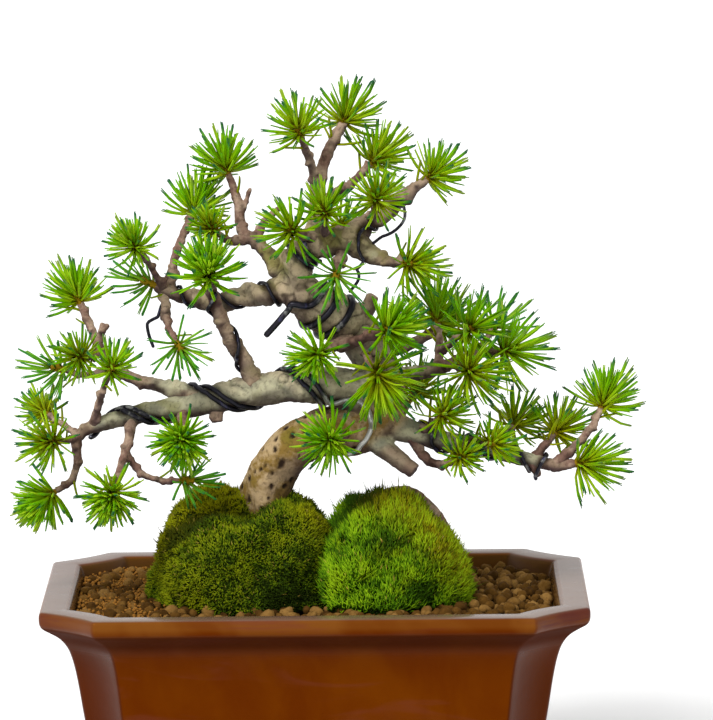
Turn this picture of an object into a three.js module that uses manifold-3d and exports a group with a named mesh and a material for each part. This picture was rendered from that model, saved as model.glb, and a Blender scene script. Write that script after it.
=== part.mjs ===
// A Japanese white pine bonsai in a glazed rectangular pot: the trained tree with its wires and
// needle tufts, two moss mounds, the gritty soil and the drainage screens. Millimetres, +Z up.
// X runs along the pot's long side and -Y faces the side from which the tree is shown.
import * as THREE from "three";
import { mergeVertices } from "three/addons/utils/BufferGeometryUtils.js";
import Module from "manifold-3d";

const wasm = await Module();
wasm.setup();

const TURN = 2 * Math.PI;
const GAP = 0.35; // between pieces that touch on the real tree
const TINY = 1e-9;
const MERGE = 1e-3; // corners nearer than this are one

// Driving dimensions of the pot
const POT = {
  width: 208,
  depth: 152,
  height: 78,
  corner: 21, // the cut corner's run along each side, at the rim
  cornerKept: 0.35, // how much of that run each millimetre of inset takes away
  dent: 1.4, // how far the cut corner bows inwards
  floor: 14,
  footHeight: 8,
  footReach: 30, // length of each foot along the pot's sides
  footThick: 13,
  footInset: 0.6, // how far the feet stand in from the underside's edge
  footDraft: 1.9, // and how much further at the floor
  drainRadius: 7.5,
  drainAt: 38,
  drainSides: 12,
};
// [inset from the rim's outline, height], from under the pot up to the rim, then down inside it
const POT_OUTSIDE = [
  [21.5, 7], [16.4, 34], [13.9, 50], [12.2, 58], [10.4, 63], [7.8, 66.6],
  [4.2, 69.3], [1.4, 71.2], [0.3, 72.8], [0, 75], [0.2, 77.3], [0.9, 78],
];
const POT_INSIDE = [
  [10.5, 78], [11.4, 77.2], [13.5, 70], [17, 60], [22, 38], [27, POT.floor],
];

// Driving dimensions of the soil, its grains and the screens over the drain holes
const SOIL = {
  top: 72.2,
  levels: [38, 60], // where its sides follow the pot's inner wall, between the floor and the top
  grainPitch: 9,
  grainRise: 2.8,
  grainDip: 0.9,
  grainRange: [0.7, 0.5], // the smallest share of the rise, and how much more there may be
  jitter: 1.9,
  layer: 6, // thickness of the layer that holds the grains
  flare: 0.4, // how much wider that layer is at its top
  mossMargin: 1.2, // bare soil round the moss stays flat for this many pitches
  seed: 11,
};
const SCREEN = { side: 25, thick: 1, holes: 3, bar: 2 };

// Moss mounds: centre and half sizes of the foot, height, and how square the dome is on its two
// sides. Their lobes and creases are [x, y, z, spread, how far they stand out].
const MOSS_FOOT = SOIL.top + 0.3 + GAP;
const MOUNDS = {
  moss_left: {
    centre: [-26, -2], half: [39, 38], rise: 43, peakShift: 1, square: 2.5, lean: -0.1, phase: 0.4,
    lobes: [
      [-46, 8, 110, 14, 2.5], [-44, -30, 90, 15, 2], [-4, -20, 106, 13, 3.5], [-8, 22, 108, 15, 2],
      [-24.5, -16, 113, 9, -11], [-50, -11, 103, 9, -3.5], [-20, -37, 84, 8, -2.5],
    ],
  },
  moss_right: {
    centre: [29, -8], half: [32, 31], rise: 41.5, peakShift: -2, square: 2.2, lean: -0.4, phase: 2.1,
    lobes: [
      [34, -8, 112, 14, 1.5], [14, -32, 88, 12, 2.5], [48, -24, 92, 13, 2], [32, -30, 100, 9, -2.5],
      [10, -14, 106, 8, -2.5], [46, -6, 106, 9, -2.5],
    ],
  },
};
const MOUND = {
  sides: 22,
  rings: 6,
  waves: { wide: 0.035, narrow: 0.025, lift: 0.6 }, // how lumpy it is round, and how much upwards
};

// The trunk, [x, y, z, radius] from its foot in the soil to the crown
const TRUNK = [
  [-20, 3, 60, 10.5], [-20.5, 2, 84, 10], [-20.5, 0, 100, 9.6], [-19.5, -1, 112, 9.2],
  [-16, -2, 122.5, 9], [-9.5, -3, 130.5, 8.9], [-1, -3, 135.5, 9], [8.5, -2, 138, 9.2],
  [18, 0, 139, 9.4], [25, 1, 144.5, 9.4], [26.3, 3, 153, 8.9], [23.3, 5, 163, 8.3],
  [19.5, 5, 171, 7.9], [14, 3, 177.5, 7.6], [7, 0, 182.5, 7.2], [-0.5, -3, 188, 6.6],
  [-6, -5, 194.5, 6.1], [-6.5, -5, 202, 5.6], [-2.2, -4, 208, 5.2], [5, -2, 211, 4.8],
  [12.5, 0, 211, 4.3], [17.5, 1, 208.5, 3.7],
];

// Branches that carry others: [radius at the root, radius at the tip, points]
const BRANCHES = {
  lower_left: [7.4, 1.8, [[24, 1, 148], [14, -3, 154], [4, -6, 156], [-6.5, -7, 156], [-17, -7, 155],
    [-28.5, -6, 153], [-39, -5, 150.5], [-49.5, -5, 148], [-59.7, -6, 147], [-70.3, -7, 145],
    [-80, -9, 143], [-87.4, -10, 140], [-92, -11, 136]]],
  left_rise: [2.9, 1.4, [[-44, -4, 150], [-49, -2, 153.3], [-59, 2, 155.5], [-67.5, 5, 157],
    [-74, 6, 160.2], [-79.5, 7, 165.4], [-83, 9, 171.5], [-86.3, 12, 178.6], [-89.5, 15, 185.7]]],
  rising_twig: [2.4, 1.5, [[-22, -7, 156], [-26.5, -9, 166], [-31, -10, 175], [-35.5, -11, 184],
    [-38, -14, 193], [-38.8, -20, 199.5]]],
  upper_left: [4.4, 1.7, [[-5, -5, 193], [-12, -6, 192.5], [-17, -6, 192], [-26.5, -5, 190.5],
    [-36, -3, 188.5], [-45.5, -2, 189.5], [-53, -2, 192], [-60, -3, 195]]],
  upper_mid: [3.1, 1.4, [[-6, -5, 199], [-12, -2, 199.8], [-17, 2, 205.5], [-21.5, 5, 210.6],
    [-26, 7, 213.2], [-27.5, 9, 217.4], [-28, 11, 223.5], [-29.8, 13, 229.6], [-32, 15, 235.3]]],
  leader: [3.2, 2.6, [[1, -3, 210], [2, 0, 217], [1.5, 2, 225.8], [2, 3, 233.6]]],
  right_up: [3.4, 1.7, [[12, 0, 211], [17, 1, 214.8], [24, 3, 218.5], [31.5, 6, 223.9],
    [38.5, 8, 229.5], [44, 10, 233.2]]],
  right_arm: [3.5, 1.8, [[16, 1, 210], [21, -1, 206.4], [27, -5, 203.9], [35, -10, 203.5]]],
  right_mid: [2.8, 1.6, [[24, 6, 166], [34, 11, 168], [42, 17, 170.7], [48, 24, 174.2]]],
  right_reach: [3.2, 1.4, [[27, 4, 157], [38, 5, 158.6], [47.5, 5, 160.5], [56, 3, 164],
    [64.5, 0, 167], [71.5, -4, 168.5]]],
  low_right: [4.8, 1.7, [[26, 1, 143], [33, -1, 138.5], [43, -3, 135.7], [55, -6, 133],
    [66.5, -8, 131.7], [76, -9, 128.7], [85.5, -9, 126.5], [93, -8, 124.7], [100, -8, 125.3]]],
  surface_root: [4.2, 2.4, [[-18, 3, 84], [-5, 9, 92], [10, 13, 98], [22, 15, 105], [31, 14, 110.5],
    [38, 12, 110], [44, 10, 105], [49.5, 8, 96], [53.5, 7, 83], [54.5, 6, 64]]],
};

// Twigs, in the same form. Those in REACH end in a tuft of needles.
const TWIGS = {
  far_low: [1.7, 1.1, [[-91, -11, 137], [-90.5, -11, 128], [-93, -11, 121], [-99, -12, 117]]],
  far_side: [1.4, 1.1, [[-90, -11, 138.5], [-94, -15, 137.2], [-98, -20, 138]]],
  far_high: [1.3, 1, [[-90, -10, 138.5], [-96, -4, 141.6], [-102, 3, 144.5]]],
  left_fork: [1.5, 1.1, [[-84, -10, 142.5], [-82, -14, 150.5], [-79.5, -18, 158.3], [-77, -23, 164.3]]],
  left_side: [1.4, 1, [[-77, 6.5, 162.5], [-83, 3, 160.4], [-89, 0, 160.3], [-95, -2, 162.3]]],
  left_front: [1.4, 1, [[-81, 8, 168], [-84.5, 0, 167], [-88, -9, 168.6]]],
  low_front: [2, 1.3, [[-70, -7, 145], [-70.5, -11, 137], [-73, -16, 129.2], [-75, -22, 123],
    [-76, -28, 120.2]]],
  low_middle: [1.9, 1.2, [[-50, -6, 147], [-50, -14, 142.9], [-50, -22, 140.2]]],
  low_under: [1.4, 1, [[-72, -13, 132], [-66, -13, 124], [-58, -13, 121], [-51, -16, 121.5]]],
  upper_front: [1.4, 1, [[-57, -3, 194], [-60, -6, 200], [-63, -11, 206], [-66, -17, 210.5]]],
  upper_rise: [1.8, 1.3, [[-54, -2, 192], [-53.5, 4, 201], [-50, 10, 211.5], [-46, 15, 219.5]]],
  upper_hang: [1.3, 0.9, [[-57, -2, 193], [-56, -6, 184.5], [-54, -11, 178.2], [-51.5, -18, 175]]],
  middle_side: [2, 1.1, [[-24, 6, 212], [-29.5, 4, 210.8], [-33, 1, 212], [-36.5, -3, 215.5]]],
  crown_left: [1.5, 1.2, [[0, -4, 210], [-1.5, -10, 213.7], [-6, -17, 216.7]]],
  crown_front: [1.5, 1.1, [[4, -2, 211], [5, -7, 216.5], [5, -11, 221.7]]],
  crown_under: [1.5, 1.1, [[11, -1, 208], [10.5, -9, 203.7], [9.5, -18, 201.2]]],
  crown_back: [1.6, 1.1, [[5, 1, 211], [8, 14, 211.6], [11, 26, 213]]],
  top_left: [1.9, 1.3, [[2, 3, 231.6], [-0.5, 0, 242], [-3.8, -4, 251.5]]],
  top_middle: [2.3, 1.9, [[2, 3, 230.6], [5.5, 7, 241.9], [9.2, 10, 249.4], [12, 13, 254.3]]],
  top_right: [2, 1.4, [[2, 1, 222.8], [8, 3, 228.5], [14.5, 6, 231.9], [22.5, 9, 239.5]]],
  right_front: [1.4, 1, [[22, 2.5, 217.2], [23.5, -5, 222], [24.5, -12, 227]]],
  trunk_front: [1.6, 1.2, [[14, 0, 176], [9, -9, 172.5], [3.5, -17, 170.7]]],
  shelf_front: [2.3, 1.7, [[14, 0, 175], [12, -9, 171.5], [19, -16, 175.7], [26.5, -21, 179]]],
  droop: [1.7, 1.2, [[24, 2, 167], [20.5, -8, 168.5], [21, -14, 167.2], [23.5, -19, 164]]],
  heel_front: [1.7, 1.3, [[14, -3, 139], [11.5, -13, 137.5], [7.5, -22, 138.2]]],
  reach_up: [1.7, 1.3, [[47.5, 5, 160.5], [48.5, 8, 168.9], [47.5, 12, 177]]],
  reach_middle: [1.4, 1.1, [[48.3, 7.5, 167], [53, -1, 171.6], [58, -8, 176.4]]],
  reach_front: [1.4, 1.1, [[50, 4.5, 161.5], [53.5, -6, 163.2], [58, -16, 163.3]]],
  reach_back: [1.3, 1, [[60, 1.5, 165.2], [65, 10, 169.3], [69, 18, 173.5]]],
  low_first: [1.4, 1.1, [[40, -2.5, 136], [44, -10, 140.9], [48, -17, 145.2]]],
  low_inner: [1.4, 1.1, [[30, -1, 141], [34.5, 5, 145.2], [38, 12, 149.3]]],
  low_hook: [1.9, 1.2, [[37, -2, 137], [40, -5, 130.5], [45, -8, 126.2], [51, -12, 126.5],
    [54.5, -17, 129.2]]],
  low_side: [1.4, 1.1, [[56, -6, 133], [61, -13, 135.2], [66, -20, 135.6]]],
  low_centre: [1.5, 1.1, [[70, -8, 130.8], [73, -3, 134.8], [76, 3, 138]]],
  low_outer: [1.6, 1.2, [[84, -9, 127], [88, -4, 131.3], [92, 2, 135.4]]],
  low_tip: [1.7, 1.3, [[92, -8, 125], [100, -6, 131.7], [106.5, -2, 138.6], [110, 2, 145]]],
};

// How far each tuft's needles reach from the end of its branch or twig
const REACH = {
  left_rise: 14.5, rising_twig: 16, upper_left: 13.5, upper_mid: 15, right_up: 13.5, right_arm: 14.5,
  right_mid: 15, right_reach: 19, low_right: 17, far_low: 13.5, far_side: 14, far_high: 11,
  left_fork: 12, left_side: 13.5, left_front: 12, low_front: 14, low_middle: 14, low_under: 11.5,
  upper_front: 12.5, upper_rise: 15.5, upper_hang: 14, middle_side: 10, crown_left: 15,
  crown_front: 13, crown_under: 14, crown_back: 13, top_left: 14, top_middle: 15.5, top_right: 15,
  right_front: 14, trunk_front: 14, shelf_front: 16, droop: 21, heel_front: 15, reach_up: 18,
  reach_middle: 18, reach_front: 19, reach_back: 16, low_first: 14, low_inner: 13.5, low_hook: 10.5,
  low_side: 12, low_centre: 14, low_outer: 14.5, low_tip: 16,
};

// Pruned and dead ends with no needles
const STUBS = {
  heel_stub: [4.1, 3.2, [[19, -2, 138], [29.5, -6, 129.5], [38.5, -9, 123]]],
  grey_snag: [2.7, 2, [[17, 3, 176], [21, 2, 183.5], [23.5, 1, 189.5]]],
  under_stub: [2.4, 2, [[-38, -5, 150], [-37, -7, 142.5]]],
  knob: [1, 1.6, [[-82.5, 8, 171.2], [-80, 8, 178.7]]],
  crown_stub: [1.6, 1.2, [[-22, 5, 211], [-18, 9, 217.4], [-12.5, 12, 222.5]]],
  middle_snag: [1.1, 0.8, [[-27.5, 9, 217.4], [-25.5, 11, 224.2], [-23.5, 13, 230]]],
  low_nub: [1.5, 1.1, [[82, -9, 127.5], [85.5, -11, 121]]],
};

// How round each sort of limb is, and how many rings it has between two of its points
const SWELL = { double: 0.6, drift: 1.7, counter: 0.9, cover: 0.7 }; // how a limb's lumps wander
const TRUNK_FORM = { sides: 9, steps: 1.4, lump: 0.055 };
const BRANCH_FORM = { sides: 6, steps: 1, lump: 0.03 };
const TWIG_FORM = { sides: 5, steps: 1, lump: 0 };

// Training wires: the limb each is wound on, from and to which of its points, the point where it
// crosses the limb's front, how many points one turn takes, and its free ends
const WIRES = {
  wire_trunk_thick: { limb: "trunk", from: 13.5, to: 15.25, front: 15.25, turn: -0.72, radius: 1.3,
    after: [[-8, -14, 187.3], [-13, -14.5, 182], [-18, -14, 176.5]] },
  wire_trunk_second: { limb: "trunk", from: 17.4, to: 18.35, front: 17.5, turn: -0.48, radius: 0.95 },
  wire_branch_first: { limb: "lower_left", from: 1.8, to: 11, front: 2.25, turn: 3.1, radius: 1,
    before: [[14, -9.5, 127.5], [17.9, -12, 131.5], [21.3, -13, 138], [21.3, -13.5, 145.5],
      [16.3, -13.5, 150.5], [11.4, -13, 150.5]] },
  wire_branch_second: { limb: "lower_left", from: 1.3, to: 9.3, front: 2.6, turn: 3.1, radius: 1 },
  wire_upper_left: { limb: "upper_left", from: 1, to: 6.4, front: 1.7, turn: 1.9, radius: 0.7,
    after: [[-60.5, -7, 186], [-63, -7, 182], [-62.7, -7, 177], [-60.8, -7, 171.5]] },
  wire_rising_twig: { limb: "rising_twig", from: 0.4, to: 4.2, front: 1.5, turn: 2.4, radius: 0.75 },
  wire_crown: { limb: "right_up", from: 1.5, to: 3.2, front: 1.5, turn: 1.5, radius: 0.65,
    before: [[14, -10.5, 192.5], [17.5, -10.5, 197], [18.8, -9.5, 203], [17, -7.5, 209]],
    after: [[35, -3, 225], [35.5, -5, 220], [31, -6, 215], [24, -6, 212.5]] },
  wire_low_right: { limb: "low_right", from: 1.2, to: 6.6, front: 2.2, turn: 1.6, radius: 0.8,
    after: [[84, -14, 123], [82.5, -15, 118.5]] },
};
const WIRE_SIDES = 4;
const WIRE_STEPS = 9; // per turn
// How a wire is bent clear of the wood: rounds, those that also smooth it, how much further than
// needed it moves, and how far a stretch may grow or shrink before it is eased by a share
const BEND = { rounds: 60, smoothed: 50, over: 1.05, longest: 1.25, shortest: 0.75, ease: 0.12 };

// A tuft: a slim shoot of staggered rings, [height, radius], whose faces grow needles
const SHOOT_SIDES = 5;
const SHOOT = [[0, null], [1.5, 1.55], [3.6, 1.75], [5.6, 1.4]];
const SHOOT_TIP = 7;
const SHOOT_ROOM = 1.8; // radius that the other needles leave free round it
const NEEDLE = {
  spread: [84, 60, 37, 14], // degrees from the shoot, for each band of its faces
  sway: 6,
  twist: 1.5, // times the sway
  opening: 1.12, // how much wider a needle leaves the shoot than it ends
  waist: 0.3, // where its foot ends and its blade starts, as a share of its length
  halfWidth: 0.56,
  footWidth: 1.9, // times the half width
  footRoom: 1.7,
  clearance: 0.3,
  ownClearance: 0.05, // from needles of its own tuft
  lengths: [0.92, 0.14], // the smallest share of the reach, and how much more there may be
  tries: [[12, 1], [19, 0.82], [26, 0.62]], // up to which try, at which share of the length
  seed: 5,
};
const SIMPLIFY = { soil: 0.05, wood: 0.14 };

// Finishes
const FINISH = {
  glaze: { color: 0x5a2a0e, roughness: 0.22, metalness: 0 },
  grit: { color: 0x6e4a2c, roughness: 0.95, metalness: 0 },
  mesh: { color: 0x1c2a20, roughness: 0.7, metalness: 0 },
  moss_dark: { color: 0x4c5a10, roughness: 1, metalness: 0 },
  moss_bright: { color: 0x5f8a14, roughness: 1, metalness: 0 },
  bark: { color: 0x8b7a62, roughness: 0.9, metalness: 0 },
  wire: { color: 0x2a2830, roughness: 0.45, metalness: 0.7 },
  needle: { color: 0x5f9a1c, roughness: 0.6, metalness: 0 },
};

const material = (finish) => new THREE.MeshStandardMaterial(FINISH[finish]);
const vector = (p) => new THREE.Vector3(p[0], p[1], p[2]);

// A repeatable stream of numbers from 0 to 1
function seeded(seed) {
  let state = seed >>> 0;
  return () => {
    state = (state + 0x6d2b79f5) >>> 0;
    let t = Math.imul(state ^ (state >>> 15), 1 | state);
    t = (t + Math.imul(t ^ (t >>> 7), 61 | t)) ^ t;
    return ((t ^ (t >>> 14)) >>> 0) / 4294967296;
  };
}

// Solids and geometries

function solidOf(vertices, triangles) {
  const vertProperties = new Float32Array(vertices.flatMap((v) => [v.x, v.y, v.z]));
  const triVerts = new Uint32Array(triangles.flat());
  return new wasm.Manifold(new wasm.Mesh({ numProp: 3, vertProperties, triVerts }));
}

function solidOfGeometry(geometry) {
  const bare = geometry.index ? geometry.toNonIndexed() : geometry.clone();
  bare.deleteAttribute("normal");
  bare.deleteAttribute("uv");
  const merged = mergeVertices(bare, MERGE);
  return new wasm.Manifold(new wasm.Mesh({
    numProp: 3,
    vertProperties: merged.attributes.position.array,
    triVerts: new Uint32Array(merged.index.array),
  }));
}

function boxSolid(width, depth, height, x, y, z) {
  return solidOfGeometry(new THREE.BoxGeometry(width, depth, height).translate(x, y, z));
}

// The solid's largest body as a geometry, measured from an origin of its own
function geometryOf(solid, origin = new THREE.Vector3()) {
  const bodies = solid.decompose().sort((a, b) => b.volume() - a.volume());
  const { vertProperties, numProp, triVerts, numVert } = bodies[0].getMesh();
  const positions = new Float32Array(numVert * 3);
  for (let i = 0; i < numVert; i++) {
    positions[3 * i] = vertProperties[i * numProp] - origin.x;
    positions[3 * i + 1] = vertProperties[i * numProp + 1] - origin.y;
    positions[3 * i + 2] = vertProperties[i * numProp + 2] - origin.z;
  }
  const geometry = new THREE.BufferGeometry();
  geometry.setAttribute("position", new THREE.BufferAttribute(positions, 3));
  geometry.setIndex(new THREE.BufferAttribute(new Uint32Array(triVerts), 1));
  geometry.computeVertexNormals();
  return geometry;
}

// Triangles between rings of equal count, closed at both ends. capOf triangulates one ring.
function skin(rings, capOf) {
  const count = rings[0].length;
  const triangles = [];
  for (let k = 0; k < rings.length - 1; k++)
    for (let i = 0; i < count; i++) {
      const [a, b] = [k * count + i, k * count + ((i + 1) % count)];
      triangles.push([a, b, b + count], [a, b + count, a + count]);
    }
  const last = (rings.length - 1) * count;
  for (const [a, b, c] of capOf(rings[0])) triangles.push([a, c, b]);
  for (const [a, b, c] of capOf(rings[rings.length - 1])) triangles.push([last + a, last + b, last + c]);
  return solidOf(rings.flat(), triangles);
}

const flatCap = (ring) => THREE.ShapeUtils.triangulateShape(ring.map((v) => new THREE.Vector2(v.x, v.y)), []);
const fanCap = (ring) => ring.slice(2).map((_, i) => [0, i + 1, i + 2]);

// The pot

// The pot's outline at an inset from the rim: a rectangle whose cut corners bow inwards
function potOutline(inset, z) {
  const [x, y] = [POT.width / 2 - inset, POT.depth / 2 - inset];
  const cut = POT.corner - POT.cornerKept * inset;
  const bow = cut / 2 + POT.dent * Math.SQRT1_2;
  const quarter = [[x, y - cut], [x - bow, y - bow], [x - cut, y]];
  const mirrored = (sx, sy) => quarter.map(([px, py]) => [sx * px, sy * py]);
  return [
    ...mirrored(1, 1), ...mirrored(-1, 1).reverse(), ...mirrored(-1, -1), ...mirrored(1, -1).reverse(),
  ].map(([px, py]) => new THREE.Vector3(px, py, z));
}

const potSolid = (levels) => skin(levels.map(([inset, z]) => potOutline(inset, z)), flatCap);

function insetInside(z) {
  const k = POT_INSIDE.findIndex(([, height]) => height <= z);
  const [[upper, high], [lower, low]] = [POT_INSIDE[k - 1], POT_INSIDE[k]];
  return lower + ((upper - lower) * (z - low)) / (high - low);
}

function makePot() {
  const [baseInset] = POT_OUTSIDE[0];
  const footOutside = potSolid([
    [baseInset + POT.footInset + POT.footDraft, 0], [baseInset + POT.footInset, POT.footHeight],
  ]);
  const footInside = potSolid([[baseInset + POT.footThick, -1], [baseInset + POT.footThick, POT.footHeight + 1]]);
  const [x, y] = [POT.width / 2 - baseInset - POT.footReach, POT.depth / 2 - baseInset - POT.footReach];
  const feet = footOutside
    .subtract(footInside)
    .subtract(boxSolid(2 * x, POT.depth, 3 * POT.footHeight, 0, 0, 0))
    .subtract(boxSolid(POT.width, 2 * y, 3 * POT.footHeight, 0, 0, 0));
  let pot = potSolid([...POT_OUTSIDE, ...POT_INSIDE]).add(feet);
  for (const side of [-1, 1]) {
    const drain = new THREE.CylinderGeometry(
      POT.drainRadius, POT.drainRadius, 2 * POT.floor, POT.drainSides);
    drain.rotateX(Math.PI / 2).translate(side * POT.drainAt, 0, POT.floor);
    pot = pot.subtract(solidOfGeometry(drain));
  }
  return geometryOf(pot);
}

// A square screen of crossed bars, its middle at the origin
function makeScreen() {
  const { side, thick, holes, bar } = SCREEN;
  const pitch = (side - bar) / holes;
  let screen = boxSolid(side, side, thick, 0, 0, 0);
  for (let i = 0; i < holes; i++)
    for (let j = 0; j < holes; j++) {
      const at = (k) => (k + 0.5) * pitch - (side - bar) / 2;
      screen = screen.subtract(boxSolid(pitch - bar, pitch - bar, 3 * thick, at(i), at(j), 0));
    }
  return geometryOf(screen);
}

// Moss and soil

// A moss mound: a dome of rings with lobes and creases, grown outwards by an amount
function moundSolid({ centre, half, rise, peakShift, square, lean, phase, lobes }, grown = 0) {
  const { sides, rings: count, waves } = MOUND;
  const heart = new THREE.Vector3(centre[0], centre[1], MOSS_FOOT);
  const lobed = (point) => {
    const amount = lobes.reduce((sum, [x, y, z, spread, out]) =>
      sum + out * Math.exp(-((point.distanceTo(new THREE.Vector3(x, y, z)) / spread) ** 2)), 0);
    return point.addScaledVector(point.clone().sub(heart).normalize(), amount);
  };
  const vertices = [];
  for (let k = 0; k <= count; k++) {
    const climb = (k / (count + 1)) * (Math.PI / 2);
    for (let i = 0; i < sides; i++) {
      const angle = (TURN * (i + k / 2)) / sides;
      const power = 2 / (square + lean * Math.cos(angle));
      const wave = waves.wide * Math.sin(3 * angle + phase + k) + waves.narrow * Math.sin(7 * angle - 2 * k);
      const out = Math.cos(climb) ** power * (1 + wave);
      const up = Math.sin(climb) ** power * (1 + waves.lift * wave);
      vertices.push(lobed(new THREE.Vector3(
        centre[0] + peakShift * up + (half[0] + grown) * out * Math.cos(angle),
        centre[1] + (half[1] + grown) * out * Math.sin(angle),
        MOSS_FOOT + (rise + grown) * up - (k ? 0 : grown),
      )));
    }
  }
  vertices.push(lobed(new THREE.Vector3(centre[0] + peakShift, centre[1], MOSS_FOOT + rise + grown)));
  const triangles = fanCap(vertices.slice(0, sides)).map(([a, b, c]) => [a, c, b]);
  for (let k = 0; k < count; k++)
    for (let i = 0; i < sides; i++) {
      const [a, b] = [k * sides + i, k * sides + ((i + 1) % sides)];
      triangles.push([a, b, a + sides], [b, b + sides, a + sides]);
    }
  const top = count * sides;
  for (let i = 0; i < sides; i++) triangles.push([top + i, top + ((i + 1) % sides), top + sides]);
  return solidOf(vertices, triangles);
}

function underMoss(x, y, margin) {
  return Object.values(MOUNDS).some(({ centre, half }) =>
    Math.hypot((x - centre[0]) / (half[0] + margin), (y - centre[1]) / (half[1] + margin)) < 1);
}

// The soil's gritty top: a jittered grid whose alternate points stand up as grains
function grainCarpet() {
  const random = seeded(SOIL.seed);
  const { grainPitch: pitch, grainRise, grainDip, grainRange, jitter, top, layer } = SOIL;
  const [columns, rows] = [Math.round(POT.width / pitch), Math.round(POT.depth / pitch)];
  const upper = [];
  const lower = [];
  for (let j = 0; j <= rows; j++)
    for (let i = 0; i <= columns; i++) {
      const x = (i - columns / 2) * pitch + jitter * (2 * random() - 1);
      const y = (j - rows / 2) * pitch + jitter * (2 * random() - 1);
      const share = random();
      const grain = (i + j) % 2 ? grainRise * (grainRange[0] + grainRange[1] * share) : -grainDip * share;
      upper.push(new THREE.Vector3(x, y, underMoss(x, y, SOIL.mossMargin * pitch) ? top : top + grain));
      lower.push(new THREE.Vector3(x, y, top - layer));
    }
  const count = upper.length;
  const triangles = [];
  for (let j = 0; j < rows; j++)
    for (let i = 0; i < columns; i++) {
      const a = j * (columns + 1) + i;
      const [b, c, d] = [a + 1, a + columns + 2, a + columns + 1];
      const halves = (i + j) % 2 ? [[a, b, c], [a, c, d]] : [[a, b, d], [b, c, d]];
      for (const [p, q, r] of halves) triangles.push([p, q, r], [count + p, count + r, count + q]);
    }
  const edge = [
    ...Array.from({ length: columns }, (_, i) => i),
    ...Array.from({ length: rows }, (_, j) => columns + j * (columns + 1)),
    ...Array.from({ length: columns }, (_, i) => count - 1 - i),
    ...Array.from({ length: rows }, (_, j) => (rows - j) * (columns + 1)),
  ];
  edge.forEach((p, i) => {
    const q = edge[(i + 1) % edge.length];
    triangles.push([p, count + p, count + q], [p, count + q, q]);
  });
  return solidOf([...upper, ...lower], triangles);
}

function makeSoil(buried) {
  const levels = [POT.floor, ...SOIL.levels, SOIL.top].map((z) => [insetInside(z) + GAP, z]);
  levels[0][1] += GAP;
  const walls = [...levels.slice(0, -1), [levels.at(-1)[0] - SOIL.flare, SOIL.top + SOIL.layer]];
  let soil = potSolid(levels).add(grainCarpet().intersect(potSolid(walls)));
  for (const side of [-1, 1]) {
    const pocket = SCREEN.side + 2 * GAP;
    const height = 2 * (SCREEN.thick + 2 * GAP);
    soil = soil.subtract(boxSolid(pocket, pocket, height, side * POT.drainAt, 0, POT.floor));
  }
  for (const mound of Object.values(MOUNDS)) soil = soil.subtract(moundSolid(mound, GAP));
  return geometryOf(soil.subtract(buried).simplify(SIMPLIFY.soil));
}

// Limbs of the tree

// A limb's centre line, with a radius and a frame at any place along it, counted in points
class Limb {
  constructor(points, form) {
    this.points = points;
    this.form = form;
    this.last = points.length - 1;
    this.curve = new THREE.CatmullRomCurve3(points.map(vector), false, "centripetal");
    this.fine = 8 * this.last;
    this.frames = this.curve.computeFrenetFrames(this.fine);
  }

  centre(at) {
    return this.curve.getPoint(at / this.last);
  }

  radius(at) {
    const k = Math.min(Math.floor(at), this.last - 1);
    return THREE.MathUtils.lerp(this.points[k][3], this.points[k + 1][3], at - k);
  }

  // The two directions across the limb, carried along it without twisting
  across(at) {
    const along = this.curve.getTangent(at / this.last);
    const arc = this.arcShare(at);
    const normal = this.frames.normals[Math.round(arc * this.fine)].clone();
    normal.addScaledVector(along, -normal.dot(along)).normalize();
    return [normal, along.clone().cross(normal), along];
  }

  arcShare(at) {
    const lengths = this.curve.getLengths();
    const place = (at / this.last) * (lengths.length - 1);
    const k = Math.min(Math.floor(place), lengths.length - 2);
    return THREE.MathUtils.lerp(lengths[k], lengths[k + 1], place - k) / lengths[lengths.length - 1];
  }

  // The limb as a solid of rings, grown outwards and past its ends by an amount
  solid(grown = 0) {
    const { sides, steps, lump } = this.form;
    const count = Math.max(2, Math.round(this.last * steps));
    const rings = [];
    for (let k = 0; k <= count; k++) {
      const at = (k / count) * this.last;
      const [normal, side, along] = this.across(at);
      const past = grown * (k === 0 ? -1 : k === count ? 1 : 0);
      const middle = this.centre(at).addScaledVector(along, past);
      rings.push(Array.from({ length: sides }, (_, i) => {
        const angle = (TURN * i) / sides;
        const swell = 1 + lump * (Math.sin(3 * angle + SWELL.drift * k)
          + SWELL.double * Math.sin(2 * angle - SWELL.counter * k));
        const out = this.radius(at) * swell + grown / Math.cos(Math.PI / sides);
        return middle.clone()
          .addScaledVector(normal, out * Math.cos(angle))
          .addScaledVector(side, out * Math.sin(angle));
      }));
    }
    return skin(rings, fanCap);
  }

  // Short capsules that cover the limb, for keeping wires and needles clear of it
  capsules(owner) {
    const count = 3 * this.last;
    const swell = 1 + SWELL.cover * this.form.lump;
    return Array.from({ length: count }, (_, k) => {
      const [a, b] = [(k / count) * this.last, ((k + 1) / count) * this.last];
      return { a: this.centre(a), b: this.centre(b), radius: swell * this.radius(a), owner };
    });
  }

  end() {
    return { at: this.centre(this.last), along: this.across(this.last)[2], radius: this.points[this.last][3] };
  }
}

const tapered = ([root, tip, points], form) =>
  new Limb(points.map((p, i) => [...p, THREE.MathUtils.lerp(root, tip, i / (points.length - 1))]), form);

const limbs = { trunk: new Limb(TRUNK, TRUNK_FORM) };
for (const [name, spec] of Object.entries(BRANCHES)) limbs[name] = tapered(spec, BRANCH_FORM);
for (const [name, spec] of Object.entries({ ...TWIGS, ...STUBS })) limbs[name] = tapered(spec, TWIG_FORM);

const obstacles = Object.entries(limbs).flatMap(([name, limb]) => limb.capsules(name));

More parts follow.
